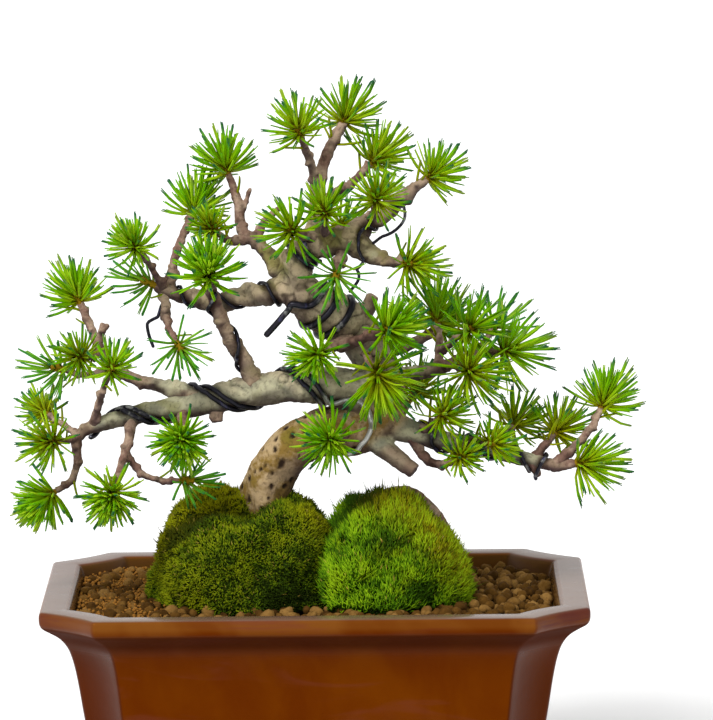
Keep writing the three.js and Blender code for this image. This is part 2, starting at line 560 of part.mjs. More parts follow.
// The shortest way between two segments, from the second to the first, and its place on each
function shortestWay(a, b, c, d) {
  const [u, v, w] = [b.clone().sub(a), d.clone().sub(c), a.clone().sub(c)];
  const [uu, uv, vv, uw, vw] = [u.dot(u), u.dot(v), v.dot(v), u.dot(w), v.dot(w)];
  const clamp = (x) => Math.min(1, Math.max(0, x));
  const cross = uu * vv - uv * uv;
  let s = cross > TINY ? clamp((uv * vw - vv * uw) / cross) : 0.5;
  const t = vv > TINY ? clamp((uv * s + vw) / vv) : 0;
  s = uu > TINY ? clamp((uv * t - uw) / uu) : 0;
  return { way: w.addScaledVector(u, s).addScaledVector(v, -t), s, t };
}

// Training wires

// Moves a path's points until its stretches clear every limb and the wires already wound
function bendClear(points, radius) {
  const lengths = points.slice(1).map((q, k) => q.distanceTo(points[k]));
  for (let round = 0; round < BEND.rounds; round++) {
    for (let k = 0; k < points.length - 1; k++)
      for (const { a, b, radius: other } of obstacles) {
        const { way, s } = shortestWay(points[k], points[k + 1], a, b);
        const lack = other + radius + GAP - way.length();
        if (lack <= 0) continue;
        const push = way.normalize().multiplyScalar(BEND.over * lack);
        points[k].addScaledVector(push, 1 - 0.5 * s);
        points[k + 1].addScaledVector(push, 0.5 + 0.5 * s);
      }
    if (round > BEND.smoothed) continue;
    for (let k = 1; k < points.length - 1; k++) {
      const centre = points[k - 1].clone().add(points[k + 1]).multiplyScalar(0.5);
      const stretched = points[k].distanceTo(points[k - 1]) / lengths[k - 1];
      if (stretched > BEND.longest || stretched < BEND.shortest) points[k].lerp(centre, BEND.ease);
    }
  }
}

function makeWire({ limb: host, from, to, front, turn, radius, before = [], after = [] }, name) {
  const limb = limbs[host];
  const steps = Math.round(Math.abs((to - from) / turn) * WIRE_STEPS);
  const [frontNormal, frontSide] = limb.across(front);
  const frontAngle = Math.atan2(-frontSide.y, -frontNormal.y);
  const points = before.map(vector);
  for (let k = 0; k <= steps; k++) {
    const at = THREE.MathUtils.lerp(from, to, k / steps);
    const [normal, side] = limb.across(at);
    const angle = frontAngle + (TURN * (at - front)) / turn;
    const out = (limb.radius(at) + radius + GAP) / Math.cos(Math.PI / WIRE_STEPS);
    points.push(limb.centre(at)
      .addScaledVector(normal, out * Math.cos(angle))
      .addScaledVector(side, out * Math.sin(angle)));
  }
  points.push(...after.map(vector));
  bendClear(points, radius);
  const path = points.map((p) => [p.x, p.y, p.z, radius]);
  const wire = new Limb(path, { sides: WIRE_SIDES, steps: 1, lump: 0 });
  for (let k = 0; k < points.length - 1; k++)
    obstacles.push({ a: points[k], b: points[k + 1], radius, owner: name });
  return geometryOf(wire.solid());
}

// Needle tufts

// Whether a needle, as [root, waist, tip], keeps clear of everything that is already there
function needleIsClear([root, waist, tip], tuft) {
  const [rootHalf, tipHalf] = [NEEDLE.footWidth * NEEDLE.halfWidth, NEEDLE.halfWidth];
  return obstacles.every(({ a, b, radius, owner }) => {
    const own = owner === tuft || owner === "shoot_" + tuft;
    const outer = shortestWay(waist, tip, a, b).way.length();
    if (outer < radius + tipHalf + (own ? NEEDLE.ownClearance : NEEDLE.clearance)) return false;
    if (own || owner === tuft.replace("needles_", "")) return true;
    return shortestWay(root, waist, a, b).way.length() > radius + rootHalf + NEEDLE.clearance;
  });
}

// A tuft on the end of a limb: a slim shoot whose faces are drawn out into three-sided needles
function makeTuft(name, limb, reach, random) {
  const { at, along, radius } = limb.end();
  const base = at.addScaledVector(along, GAP);
  const [normal, side] = limb.across(limb.last);
  const ring = (k) => {
    const [height, width] = SHOOT[k];
    return Array.from({ length: SHOOT_SIDES }, (_, i) => {
      const angle = (TURN * (i + k / 2)) / SHOOT_SIDES;
      return base.clone().addScaledVector(along, height)
        .addScaledVector(normal, (width ?? radius) * Math.cos(angle))
        .addScaledVector(side, (width ?? radius) * Math.sin(angle));
    });
  };
  const tip = base.clone().addScaledVector(along, SHOOT_TIP);
  const vertices = [...SHOOT.flatMap((_, k) => ring(k)), tip];
  const triangles = fanCap(ring(0)).map(([a, b, c]) => [a, c, b]);
  const grow = (face, band) => growNeedle(face, band, { vertices, triangles, along, reach, random, name });

  for (let k = 0; k < SHOOT.length; k++)
    for (let i = 0; i < SHOOT_SIDES; i++) {
      const [a, b] = [k * SHOOT_SIDES + i, k * SHOOT_SIDES + ((i + 1) % SHOOT_SIDES)];
      if (k === SHOOT.length - 1) grow([a, b, vertices.indexOf(tip)], k);
      else {
        grow([a, b, a + SHOOT_SIDES], k);
        triangles.push([b, b + SHOOT_SIDES, a + SHOOT_SIDES]);
      }
    }
  const mesh = new THREE.Mesh(geometryOf(solidOf(vertices, triangles), base), material("needle"));
  mesh.position.copy(base);
  return mesh;
}

// Draws one face of a shoot out into a needle, bent clear of its neighbours, or leaves it bare
function growNeedle(face, band, { vertices, triangles, along, reach, random, name }) {
  const corners = face.map((i) => vertices[i]);
  const root = new THREE.Vector3().add(corners[0]).add(corners[1]).add(corners[2]).divideScalar(3);
  const outward = new THREE.Vector3()
    .crossVectors(corners[1].clone().sub(corners[0]), corners[2].clone().sub(corners[0]));
  outward.addScaledVector(along, -outward.dot(along)).normalize();
  const turnSide = along.clone().cross(outward);
  for (let attempt = 0; attempt < NEEDLE.tries.at(-1)[0]; attempt++) {
    const wander = 1 + attempt / 2;
    const open = THREE.MathUtils.degToRad(NEEDLE.spread[band] + NEEDLE.sway * wander * (random() - 0.5));
    const turn = THREE.MathUtils.degToRad(NEEDLE.twist * NEEDLE.sway * wander * (random() - 0.5));
    const flat = outward.clone().multiplyScalar(Math.cos(turn)).addScaledVector(turnSide, Math.sin(turn));
    const direction = along.clone().multiplyScalar(Math.cos(open)).addScaledVector(flat, Math.sin(open));
    const wide = NEEDLE.opening * open;
    const start = along.clone().multiplyScalar(Math.cos(wide)).addScaledVector(flat, Math.sin(wide));
    const [, shorter] = NEEDLE.tries.find(([upTo]) => attempt < upTo);
    const length = reach * shorter * (NEEDLE.lengths[0] + NEEDLE.lengths[1] * random());
    const waist = root.clone().addScaledVector(start, length * NEEDLE.waist);
    const end = waist.clone().addScaledVector(direction, length * (1 - NEEDLE.waist));
    if (!needleIsClear([root, waist, end], name)) continue;
    const first = vertices.length;
    for (const corner of corners) {
      const offset = corner.clone().sub(root);
      offset.addScaledVector(direction, -offset.dot(direction)).normalize();
      vertices.push(waist.clone().addScaledVector(offset, NEEDLE.halfWidth));
    }
    vertices.push(end);
    for (let i = 0; i < 3; i++) {
      const [p, q] = [i, (i + 1) % 3];
      triangles.push([face[p], face[q], first + q], [face[p], first + q, first + p]);
      triangles.push([first + p, first + q, first + 3]);
    }
    obstacles.push({ a: root, b: waist, radius: NEEDLE.footRoom * NEEDLE.halfWidth, owner: name });
    obstacles.push({ a: waist, b: end, radius: NEEDLE.halfWidth, owner: name });
    return;
  }
  triangles.push(face);
}

// The whole piece

const bonsai = new THREE.Group();

function place(name, geometry, finish, position = [0, 0, 0]) {
  const mesh = new THREE.Mesh(geometry, material(finish));
  mesh.name = name;
  mesh.position.set(...position);
  bonsai.add(mesh);
}

const buried = limbs.trunk.solid(GAP).add(limbs.surface_root.solid(GAP));
place("pot", makePot(), "glaze");
const screenHeight = POT.floor + GAP + SCREEN.thick / 2;
place("drain_screen_left", makeScreen(), "mesh", [-POT.drainAt, 0, screenHeight]);
place("drain_screen_right", makeScreen(), "mesh", [POT.drainAt, 0, screenHeight]);
place("soil", makeSoil(buried), "grit");
const rightMound = moundSolid(MOUNDS.moss_right);
const leftMound = moundSolid(MOUNDS.moss_left).subtract(moundSolid(MOUNDS.moss_right, GAP));
place("moss_left", geometryOf(leftMound.subtract(buried)), "moss_dark");
place("moss_right", geometryOf(rightMound.subtract(buried)), "moss_bright");
const wood = wasm.Manifold.union(Object.values(limbs).map((limb) => limb.solid()));
place("tree_wood", geometryOf(wood.simplify(SIMPLIFY.wood)), "bark");
for (const [name, spec] of Object.entries(WIRES)) place(name, makeWire(spec, name), "wire");

// Every shoot has its room kept free before the first needle grows
for (const name of Object.keys(REACH)) {
  const { at, along } = limbs[name].end();
  const tip = at.clone().addScaledVector(along, GAP + SHOOT_TIP);
  obstacles.push({ a: at, b: tip, radius: SHOOT_ROOM, owner: "shoot_needles_" + name });
}
const random = seeded(NEEDLE.seed);
for (const [limbName, reach] of Object.entries(REACH)) {
  const tuft = makeTuft("needles_" + limbName, limbs[limbName], reach, random);
  tuft.name = "needles_" + limbName;
  bonsai.add(tuft);
}

// The whole piece stands with the middle of its bounding box over the origin
bonsai.updateMatrixWorld(true);
const middle = new THREE.Box3().setFromObject(bonsai, true).getCenter(new THREE.Vector3());
bonsai.position.set(-middle.x, -middle.y, 0);

export default bonsai;
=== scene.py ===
"""The looks of a Japanese white pine bonsai in its glazed pot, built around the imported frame.

Sizes here are millimetres from the middle of the pot, with the floor at 0 and +Z up. They turn
into the frame's metres where a mesh is written, in Form.to_object and Wood._bark.
"""
import logging
import math
from dataclasses import dataclass, field
from enum import Enum, IntEnum

import bmesh
import bpy
import numpy as np
from bpy.types import Material, Object
from mathutils import Matrix, Vector
from mathutils.bvhtree import BVHTree
from mathutils.kdtree import KDTree


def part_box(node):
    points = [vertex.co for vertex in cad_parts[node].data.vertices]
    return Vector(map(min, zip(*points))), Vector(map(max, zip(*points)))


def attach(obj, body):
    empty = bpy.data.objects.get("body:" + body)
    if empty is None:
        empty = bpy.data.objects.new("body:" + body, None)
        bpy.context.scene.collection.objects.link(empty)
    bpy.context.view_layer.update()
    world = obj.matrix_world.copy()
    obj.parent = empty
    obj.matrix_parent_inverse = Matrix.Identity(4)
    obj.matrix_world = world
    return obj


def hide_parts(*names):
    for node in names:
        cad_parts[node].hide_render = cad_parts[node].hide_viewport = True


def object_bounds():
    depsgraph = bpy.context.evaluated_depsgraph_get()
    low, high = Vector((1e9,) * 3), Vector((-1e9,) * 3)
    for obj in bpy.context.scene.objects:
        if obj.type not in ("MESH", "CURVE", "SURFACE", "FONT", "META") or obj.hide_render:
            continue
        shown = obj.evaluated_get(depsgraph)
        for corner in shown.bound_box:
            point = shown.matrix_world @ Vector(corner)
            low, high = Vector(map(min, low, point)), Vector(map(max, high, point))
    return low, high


Array = np.ndarray
Random = np.random.Generator
Pair = tuple[float, float]
Triple = tuple[float, float, float]
Colour = tuple[float, float, float, float]
Faces = list[tuple[int, ...]]
# A shape's points and faces
Solid = tuple[Array, Faces]

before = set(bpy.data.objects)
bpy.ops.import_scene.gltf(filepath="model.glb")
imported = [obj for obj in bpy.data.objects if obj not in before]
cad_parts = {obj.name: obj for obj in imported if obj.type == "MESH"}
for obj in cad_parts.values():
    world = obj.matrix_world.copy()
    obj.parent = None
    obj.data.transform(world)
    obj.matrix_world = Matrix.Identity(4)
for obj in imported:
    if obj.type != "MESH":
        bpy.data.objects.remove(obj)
CAD_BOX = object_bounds()

log = logging.getLogger("bonsai")

MM = 0.001
TURN = 2 * math.pi
BODY = "root"
POT_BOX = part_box("pot")
# The frame stands over the middle of the whole piece, and the sizes here over the pot's
SHIFT = np.array((POT_BOX[0] + POT_BOX[1]) / 2) / MM * (1, 1, 0)
# How far the moss grows in over the trunk's bark
MOSS_OVERLAP = 0.8


class LimbKind(Enum):
    """How old a limb is, which says how its bark looks."""

    TRUNK = 1.0
    BRANCH = 0.6
    STUB = 0.48
    ROOT = 0.14
    TWIG = 0.0


class TuftKind(Enum):
    """How a tuft has grown, by the five numbers of __init__."""

    DENSE = (0.68, 5.4, 3, 0.12, 1.28)
    FULL = (0.6, 3.3, 2, 0.05, 1.15)
    FRESH = (0.55, 1.8, 2, 0, 1.05)
    WARM = (0.78, 2.1, 3, 0.05, 1.05)
    COOL = (0.08, 0.35, 1, -0.1, 0.95)
    OLIVE = (0.95, 2.4, 5, 0.05, 1.05)

    def __init__(self, hue: float, inner_share: float, old_count: int, pale: float,
                 girth: float) -> None:
        """Keeps what the kind says.

        Args:
            hue: From cool, 0, to olive, 1.
            inner_share: Inner bundles for each CAD needle.
            old_count: Bundles of last year's needles.
            pale: How much paler than others it is: painted light, most on the dense tufts that their
                own needles shade; below 0, painted shade.
            girth: How stout its needles are, as a factor.
        """
        self.hue = hue
        self.inner_share = inner_share
        self.old_count = old_count
        self.pale = pale
        self.girth = girth


class BarkPattern(IntEnum):
    """Which random pattern each relief in the bark takes."""

    LUMPS = 21
    GRAIN = 22
    WRINKLES = 23
    CRACKS = 24
    UNDERSIDE = 27
    WARTS = 31
    FURROWS = 33
    FURROWED = 34
    PITS = 37


# The trunk, [x, y, z, radius] from its foot in the soil to the crown
TRUNK = [
    [-20, 3, 60, 10.5], [-20.5, 2, 84, 10], [-20.5, 0, 100, 9.6], [-19.5, -1, 112, 9.2],
    [-16, -2, 122.5, 9], [-9.5, -3, 130.5, 8.9], [-1, -3, 135.5, 9], [8.5, -2, 138, 9.2],
    [18, 0, 139, 9.4], [25, 1, 144.5, 9.4], [26.3, 3, 153, 8.9], [23.3, 5, 163, 8.3],
    [19.5, 5, 171, 7.9], [14, 3, 177.5, 7.6], [7, 0, 182.5, 7.2], [-0.5, -3, 188, 6.6],
    [-6, -5, 194.5, 6.1], [-6.5, -5, 202, 5.6], [-2.2, -4, 208, 5.2], [5, -2, 211, 4.8],
    [12.5, 0, 211, 4.3], [17.5, 1, 208.5, 3.7],
]

# Branches that carry others: radius at the root, radius at the tip, points
BRANCHES = {
    "lower_left": (7.4, 1.8, [
        [24, 1, 148], [14, -3, 154], [4, -6, 156], [-6.5, -7, 156], [-17, -7, 155],
        [-28.5, -6, 153], [-39, -5, 150.5], [-49.5, -5, 148], [-59.7, -6, 147], [-70.3, -7, 145],
        [-80, -9, 143], [-87.4, -10, 140], [-92, -11, 136]]),
    "left_rise": (2.9, 1.4, [
        [-44, -4, 150], [-49, -2, 153.3], [-59, 2, 155.5], [-67.5, 5, 157], [-74, 6, 160.2],
        [-79.5, 7, 165.4], [-83, 9, 171.5], [-86.3, 12, 178.6], [-89.5, 15, 185.7]]),
    "rising_twig": (2.4, 1.5, [
        [-22, -7, 156], [-26.5, -9, 166], [-31, -10, 175], [-35.5, -11, 184], [-38, -14, 193],
        [-38.8, -20, 199.5]]),
    "upper_left": (4.4, 1.7, [
        [-5, -5, 193], [-12, -6, 192.5], [-17, -6, 192], [-26.5, -5, 190.5], [-36, -3, 188.5],
        [-45.5, -2, 189.5], [-53, -2, 192], [-60, -3, 195]]),
    "upper_mid": (3.1, 1.4, [
        [-6, -5, 199], [-12, -2, 199.8], [-17, 2, 205.5], [-21.5, 5, 210.6], [-26, 7, 213.2],
        [-27.5, 9, 217.4], [-28, 11, 223.5], [-29.8, 13, 229.6], [-32, 15, 235.3]]),
    "leader": (3.2, 2.6, [[1, -3, 210], [2, 0, 217], [1.5, 2, 225.8], [2, 3, 233.6]]),
    "right_up": (3.4, 1.7, [
        [12, 0, 211], [17, 1, 214.8], [24, 3, 218.5], [31.5, 6, 223.9], [38.5, 8, 229.5],
        [44, 10, 233.2]]),
    "right_arm": (3.5, 1.8, [[16, 1, 210], [21, -1, 206.4], [27, -5, 203.9], [35, -10, 203.5]]),
    "right_mid": (2.8, 1.6, [[24, 6, 166], [34, 11, 168], [42, 17, 170.7], [48, 24, 174.2]]),
    "right_reach": (3.2, 1.4, [
        [27, 4, 157], [38, 5, 158.6], [47.5, 5, 160.5], [56, 3, 164], [64.5, 0, 167],
        [71.5, -4, 168.5]]),
    "low_right": (4.8, 1.7, [
        [26, 1, 143], [33, -1, 138.5], [43, -3, 135.7], [55, -6, 133], [66.5, -8, 131.7],
        [76, -9, 128.7], [85.5, -9, 126.5], [93, -8, 124.7], [100, -8, 125.3]]),
    "surface_root": (4.2, 2.4, [
        [-18, 3, 84], [-5, 9, 92], [10, 13, 98], [22, 15, 105], [31, 14, 110.5], [38, 12, 110],
        [44, 10, 105], [49.5, 8, 96], [53.5, 7, 83], [54.5, 6, 64]]),
}

# Twigs, in the same form
TWIGS = {
    "far_low": (1.7, 1.1, [[-91, -11, 137], [-90.5, -11, 128], [-93, -11, 121], [-99, -12, 117]]),
    "far_side": (1.4, 1.1, [[-90, -11, 138.5], [-94, -15, 137.2], [-98, -20, 138]]),
    "far_high": (1.3, 1, [[-90, -10, 138.5], [-96, -4, 141.6], [-102, 3, 144.5]]),
    "left_fork": (1.5, 1.1, [
        [-84, -10, 142.5], [-82, -14, 150.5], [-79.5, -18, 158.3], [-77, -23, 164.3]]),
    "left_side": (1.4, 1, [[-77, 6.5, 162.5], [-83, 3, 160.4], [-89, 0, 160.3], [-95, -2, 162.3]]),
    "left_front": (1.4, 1, [[-81, 8, 168], [-84.5, 0, 167], [-88, -9, 168.6]]),
    "low_front": (2, 1.3, [
        [-70, -7, 145], [-70.5, -11, 137], [-73, -16, 129.2], [-75, -22, 123], [-76, -28, 120.2]]),
    "low_middle": (1.9, 1.2, [[-50, -6, 147], [-50, -14, 142.9], [-50, -22, 140.2]]),
    "low_under": (1.4, 1, [[-72, -13, 132], [-66, -13, 124], [-58, -13, 121], [-51, -16, 121.5]]),
    "upper_front": (1.4, 1, [[-57, -3, 194], [-60, -6, 200], [-63, -11, 206], [-66, -17, 210.5]]),
    "upper_rise": (1.8, 1.3, [
        [-54, -2, 192], [-53.5, 4, 201], [-50, 10, 211.5], [-46, 15, 219.5]]),
    "upper_hang": (1.3, 0.9, [
        [-57, -2, 193], [-56, -6, 184.5], [-54, -11, 178.2], [-51.5, -18, 175]]),
    "middle_side": (2, 1.1, [
        [-24, 6, 212], [-29.5, 4, 210.8], [-33, 1, 212], [-36.5, -3, 215.5]]),
    "crown_left": (1.5, 1.2, [[0, -4, 210], [-1.5, -10, 213.7], [-6, -17, 216.7]]),
    "crown_front": (1.5, 1.1, [[4, -2, 211], [5, -7, 216.5], [5, -11, 221.7]]),
    "crown_under": (1.5, 1.1, [[11, -1, 208], [10.5, -9, 203.7], [9.5, -18, 201.2]]),
    "crown_back": (1.6, 1.1, [[5, 1, 211], [8, 14, 211.6], [11, 26, 213]]),
    "top_left": (1.9, 1.3, [[2, 3, 231.6], [-0.5, 0, 242], [-3.8, -4, 251.5]]),
    "top_middle": (2.3, 1.9, [[2, 3, 230.6], [5.5, 7, 241.9], [9.2, 10, 249.4], [12, 13, 254.3]]),
    "top_right": (2, 1.4, [[2, 1, 222.8], [8, 3, 228.5], [14.5, 6, 231.9], [22.5, 9, 239.5]]),
    "right_front": (1.4, 1, [[22, 2.5, 217.2], [23.5, -5, 222], [24.5, -12, 227]]),
    "trunk_front": (1.6, 1.2, [[14, 0, 176], [9, -9, 172.5], [3.5, -17, 170.7]]),
    "shelf_front": (2.3, 1.7, [[14, 0, 175], [12, -9, 171.5], [19, -16, 175.7], [26.5, -21, 179]]),
    "droop": (1.7, 1.2, [[24, 2, 167], [20.5, -8, 168.5], [21, -14, 167.2], [23.5, -19, 164]]),
    "heel_front": (1.7, 1.3, [[14, -3, 139], [11.5, -13, 137.5], [7.5, -22, 138.2]]),
    "reach_up": (1.7, 1.3, [[47.5, 5, 160.5], [48.5, 8, 168.9], [47.5, 12, 177]]),
    "reach_middle": (1.4, 1.1, [[48.3, 7.5, 167], [53, -1, 171.6], [58, -8, 176.4]]),
    "reach_front": (1.4, 1.1, [[50, 4.5, 161.5], [53.5, -6, 163.2], [58, -16, 163.3]]),
    "reach_back": (1.3, 1, [[60, 1.5, 165.2], [65, 10, 169.3], [69, 18, 173.5]]),
    "low_first": (1.4, 1.1, [[40, -2.5, 136], [44, -10, 140.9], [48, -17, 145.2]]),
    "low_inner": (1.4, 1.1, [[30, -1, 141], [34.5, 5, 145.2], [38, 12, 149.3]]),
    "low_hook": (1.9, 1.2, [
        [37, -2, 137], [40, -5, 130.5], [45, -8, 126.2], [51, -12, 126.5], [54.5, -17, 129.2]]),
    "low_side": (1.4, 1.1, [[56, -6, 133], [61, -13, 135.2], [66, -20, 135.6]]),
    "low_centre": (1.5, 1.1, [[70, -8, 130.8], [73, -3, 134.8], [76, 3, 138]]),
    "low_outer": (1.6, 1.2, [[84, -9, 127], [88, -4, 131.3], [92, 2, 135.4]]),
    "low_tip": (1.7, 1.3, [[92, -8, 125], [100, -6, 131.7], [106.5, -2, 138.6], [110, 2, 145]]),
}

# Pruned and dead ends with no needles
STUBS = {
    "heel_stub": (4.1, 3.2, [[19, -2, 138], [29.5, -6, 129.5], [38.5, -9, 123]]),
    "grey_snag": (2.7, 2, [[17, 3, 176], [21, 2, 183.5], [23.5, 1, 189.5]]),
    "under_stub": (2.4, 2, [[-38, -5, 150], [-37, -7, 142.5]]),
    "knob": (1, 1.6, [[-82.5, 8, 171.2], [-80, 8, 178.7]]),
    "crown_stub": (1.6, 1.2, [[-22, 5, 211], [-18, 9, 217.4], [-12.5, 12, 222.5]]),
    "middle_snag": (1.1, 0.8, [[-27.5, 9, 217.4], [-25.5, 11, 224.2], [-23.5, 13, 230]]),
    "low_nub": (1.5, 1.1, [[82, -9, 127.5], [85.5, -11, 121]]),
}

# Limbs thick enough to be one piece with the trunk
STOUT = ("lower_left", "upper_left", "leader", "low_right", "surface_root", "heel_stub", "grey_snag")

# Branches that end in a tuft, as every twig does
TUFTED_BRANCHES = (
    "left_rise", "rising_twig", "upper_left", "upper_mid", "right_up", "right_arm", "right_mid",
    "right_reach", "low_right",
)

# Tufts that have grown otherwise than fresh
GROWN = {
    TuftKind.DENSE: ("low_front", "low_middle", "far_low", "rising_twig"),
    TuftKind.FULL: (
        "left_rise", "low_tip", "heel_front", "trunk_front", "upper_front", "upper_mid", "upper_rise",
        "shelf_front"),
    TuftKind.WARM: (
        "top_left", "top_middle", "top_right", "right_up", "low_right", "crown_front", "crown_left",
        "right_arm", "low_centre"),
    TuftKind.COOL: (
        "left_side", "upper_hang", "upper_left", "crown_under", "low_under", "reach_back"),
    TuftKind.OLIVE: (
        "left_front", "far_side", "far_high", "droop", "low_hook", "low_first", "low_side",
        "low_inner", "middle_side", "right_front", "low_outer", "reach_front"),
}


# Numbers and shapes


def colour(code: str) -> Colour:
    """The linear colour of a web code such as #5a2a0e.

    Args:
        code: The code.

    Returns:
        Red, green, blue and an alpha of 1.
    """
    parts = [int(code[k:k + 2], 16) / 255 for k in (1, 3, 5)]
    linear = [c / 12.92 if c <= 0.04045 else ((c + 0.055) / 1.055) ** 2.4 for c in parts]
    return (*linear, 1.0)


def unit(vectors: Array) -> Array:
    """Rows of vectors at length one."""
    return vectors / np.maximum(np.linalg.norm(vectors, axis=-1, keepdims=True), 1e-9)


def smoothstep(values: Array, low: float, high: float) -> Array:
    """0 at low and below, 1 at high and above, and a smooth rise between."""
    share = np.clip((values - low) / (high - low), 0, 1)
    return share * share * (3 - 2 * share)


def lumps(points: Array, size: float, seed: int, layers: int = 2) -> Array:
    """Smooth random heights in space.

    Args:
        points: The places, one row each.
        size: How far apart the lumps are, in millimetres.
        seed: Which of the random patterns to take.
        layers: How many patterns are added up, each half as large as the one before.

    Returns:
        One number from about -1 to 1 for each place.
    """
    total = np.zeros(len(points))
    for layer in range(layers):
        place = points * (2 ** layer / size) + 17.3 * layer
        cell = np.floor(place).astype(np.int64)
        share = place - cell
        share = share * share * (3 - 2 * share)
        for corner in np.ndindex(2, 2, 2):
            at = cell + corner
            mixed = at @ np.array([374761393, 668265263, 1103515245]) + (seed + layer) * 974634777
            mixed = (mixed ^ (mixed >> 13)) * 1274126177
            height = ((mixed ^ (mixed >> 16)) & 0xFFFFFF) / 0x7FFFFF - 1
            weight = np.where(corner, share, 1 - share).prod(axis=1)
            total += height * weight / 2 ** layer
    return total


def spline(knots: Array, places: Array) -> Array:
    """Points on a centripetal Catmull-Rom curve.

    Args:
        knots: The points that the curve passes through.
        places: Where on it, counted in knots.

    Returns:
        One point for each place.
    """
    ends = [2 * knots[0] - knots[1]], [2 * knots[-1] - knots[-2]]
    padded = np.vstack([ends[0], knots, ends[1]])
    k = np.clip(places.astype(int), 0, len(knots) - 2)
    p0, p1, p2, p3 = (padded[k + i] for i in range(4))
    d0, d1, d2 = (
        np.sqrt(np.maximum(np.linalg.norm(b - a, axis=1, keepdims=True), 1e-6))
        for a, b in ((p0, p1), (p1, p2), (p2, p3))
    )
    leave = ((p1 - p0) / d0 - (p2 - p0) / (d0 + d1) + (p2 - p1) / d1) * d1
    arrive = ((p2 - p1) / d1 - (p3 - p1) / (d1 + d2) + (p3 - p2) / d2) * d1
    t = (places - k)[:, None]
    curve = p1 + leave * t + (3 * (p2 - p1) - 2 * leave - arrive) * t ** 2
    return curve + (2 * (p1 - p2) + leave + arrive) * t ** 3


def arc_lengths(path: Array) -> Array:
    """How far along a path each of its points is."""
    return np.concatenate([[0], np.cumsum(np.linalg.norm(np.diff(path, axis=0), axis=1))])


def even_line(knots: Array, widths: Array, step: float) -> tuple[Array, Array]:
    """A smooth line through knots, with points about a step apart.

    Args:
        knots: The points that it passes through.
        widths: The radius at each knot.
        step: The wanted distance between two points.

    Returns:
        The points, and the radius at each.
    """
    fine = np.linspace(0, len(knots) - 1, 12 * (len(knots) - 1) + 1)
    lengths = arc_lengths(spline(knots, fine))
    count = max(2, math.ceil(lengths[-1] / step) + 1)
    places = np.interp(np.linspace(0, lengths[-1], count), lengths, fine)
    return spline(knots, places), np.interp(places, np.arange(len(widths)), widths)


def frames_along(path: Array) -> tuple[Array, Array, Array]:
    """The direction along a path and two across it, carried on without a twist.

    Args:
        path: Its points, one row each.

    Returns:
        One row for each point, of the direction and of each of the two across it.
    """
    along = unit(np.gradient(path, axis=0))
    start = np.cross(along[0], (0, 0, 1) if abs(along[0, 2]) < 0.9 else (1, 0, 0))
    across = [start / np.linalg.norm(start)]
    for direction in along[1:]:
        carried = across[-1] - direction * (across[-1] @ direction)
        across.append(carried / np.linalg.norm(carried))
    across = np.array(across)
    return along, across, np.cross(along, across)


def ring_faces(rings: int, sides: int) -> Faces:
    """Four-cornered faces between rings of equal count.

    Args:
        rings: How many rings there are.
        sides: How many points each has.

    Returns:
        The faces.
    """
    faces = []
    for k in range(rings - 1):
        for i in range(sides):
            a, b = k * sides + i, k * sides + (i + 1) % sides
            faces.append((a, b, b + sides, a + sides))
    return faces


def closed_faces(rings: int, sides: int) -> Faces:
    """Faces between rings of equal count, with one more over each end.

    Args:
        rings: How many rings there are.
        sides: How many points each has.

    Returns:
        The faces.
    """
    last = (rings - 1) * sides
    ends = [tuple(range(sides - 1, -1, -1)), tuple(range(last, last + sides))]
    return ring_faces(rings, sides) + ends


def at_height(outline: Array, z: float) -> Array:
    """A flat outline as points at a height."""
    return np.c_[outline, np.full(len(outline), z)]


def tube(path: Array, radii: Array, sides: int, swell: Array | None = None) -> Solid:
    """A closed round tube along a path.

    Args:
        path: Its middle line.
        radii: The radius at each point of the line.
        sides: How many sides each ring has.
        swell: A factor for each ring and side, or None.

    Returns:
        Its points and faces.
    """
    _, across, side = frames_along(path)
    angles = TURN * np.arange(sides) / sides
    out = across[:, None] * np.cos(angles)[:, None] + side[:, None] * np.sin(angles)[:, None]
    reach = radii[:, None] * (1 if swell is None else swell)
    points = (path[:, None] + out * np.broadcast_to(reach, out.shape[:2])[..., None]).reshape(-1, 3)
    return points, closed_faces(len(path), sides)


def add_marks(mesh: bpy.types.Mesh, marks: dict[str, Array]) -> None:
    """Gives a mesh numbers for each of its points, which a shader reads by their name.

    Args:
        mesh: The mesh.
        marks: The numbers by their name.
    """
    for name, values in marks.items():
        attribute = mesh.attributes.new(name, "FLOAT", "POINT")
        attribute.data.foreach_set("value", values.astype(np.float32))


@dataclass
class Form:
    """Points, faces and numbers per point, gathered for one piece."""

    points: list[Array] = field(default_factory=list)
    faces: Faces = field(default_factory=list)
    marks: dict[str, list[Array]] = field(default_factory=dict)
    count: int = 0

    def add(self, points: Array, faces: Faces | Array, **marks: float | Array) -> None:
        """Adds a closed shape.

        Args:
            points: Its points, in millimetres.
            faces: Its faces, counted from its own first point.
            **marks: Numbers for each of its points, or one for all.
        """
        if isinstance(faces, Array):
            self.faces.extend((faces + self.count).tolist())
        else:
            self.faces.extend(tuple(i + self.count for i in face) for face in faces)
        self.points.append(points)
        for name, values in marks.items():
            self.marks.setdefault(name, []).append(np.broadcast_to(values, len(points)))
        self.count += len(points)

    def to_object(self, name: str) -> Object:
        """The piece as a smooth-shaded object in the frame, with its marks as attributes.

        Args:
            name: What it is called.

        Returns:
            The object.
        """
        mesh = bpy.data.meshes.new(name)
        places = (np.concatenate(self.points) + SHIFT) * MM
        mesh.from_pydata(places.tolist(), [], self.faces)
        add_marks(mesh, {mark: np.concatenate(values) for mark, values in self.marks.items()})
        mesh.shade_smooth()
        mesh.validate()
        return linked(name, mesh)


def rows_of(piece: Object, what: str) -> Array:
    """What a piece's mesh says of each of its points.

    Args:
        piece: The piece.
        what: Blender's name for it, such as co or normal.

    Returns:
        One row for each point.
    """
    values = np.empty(len(piece.data.vertices) * 3)
    piece.data.vertices.foreach_get(what, values)
    return values.reshape(-1, 3)


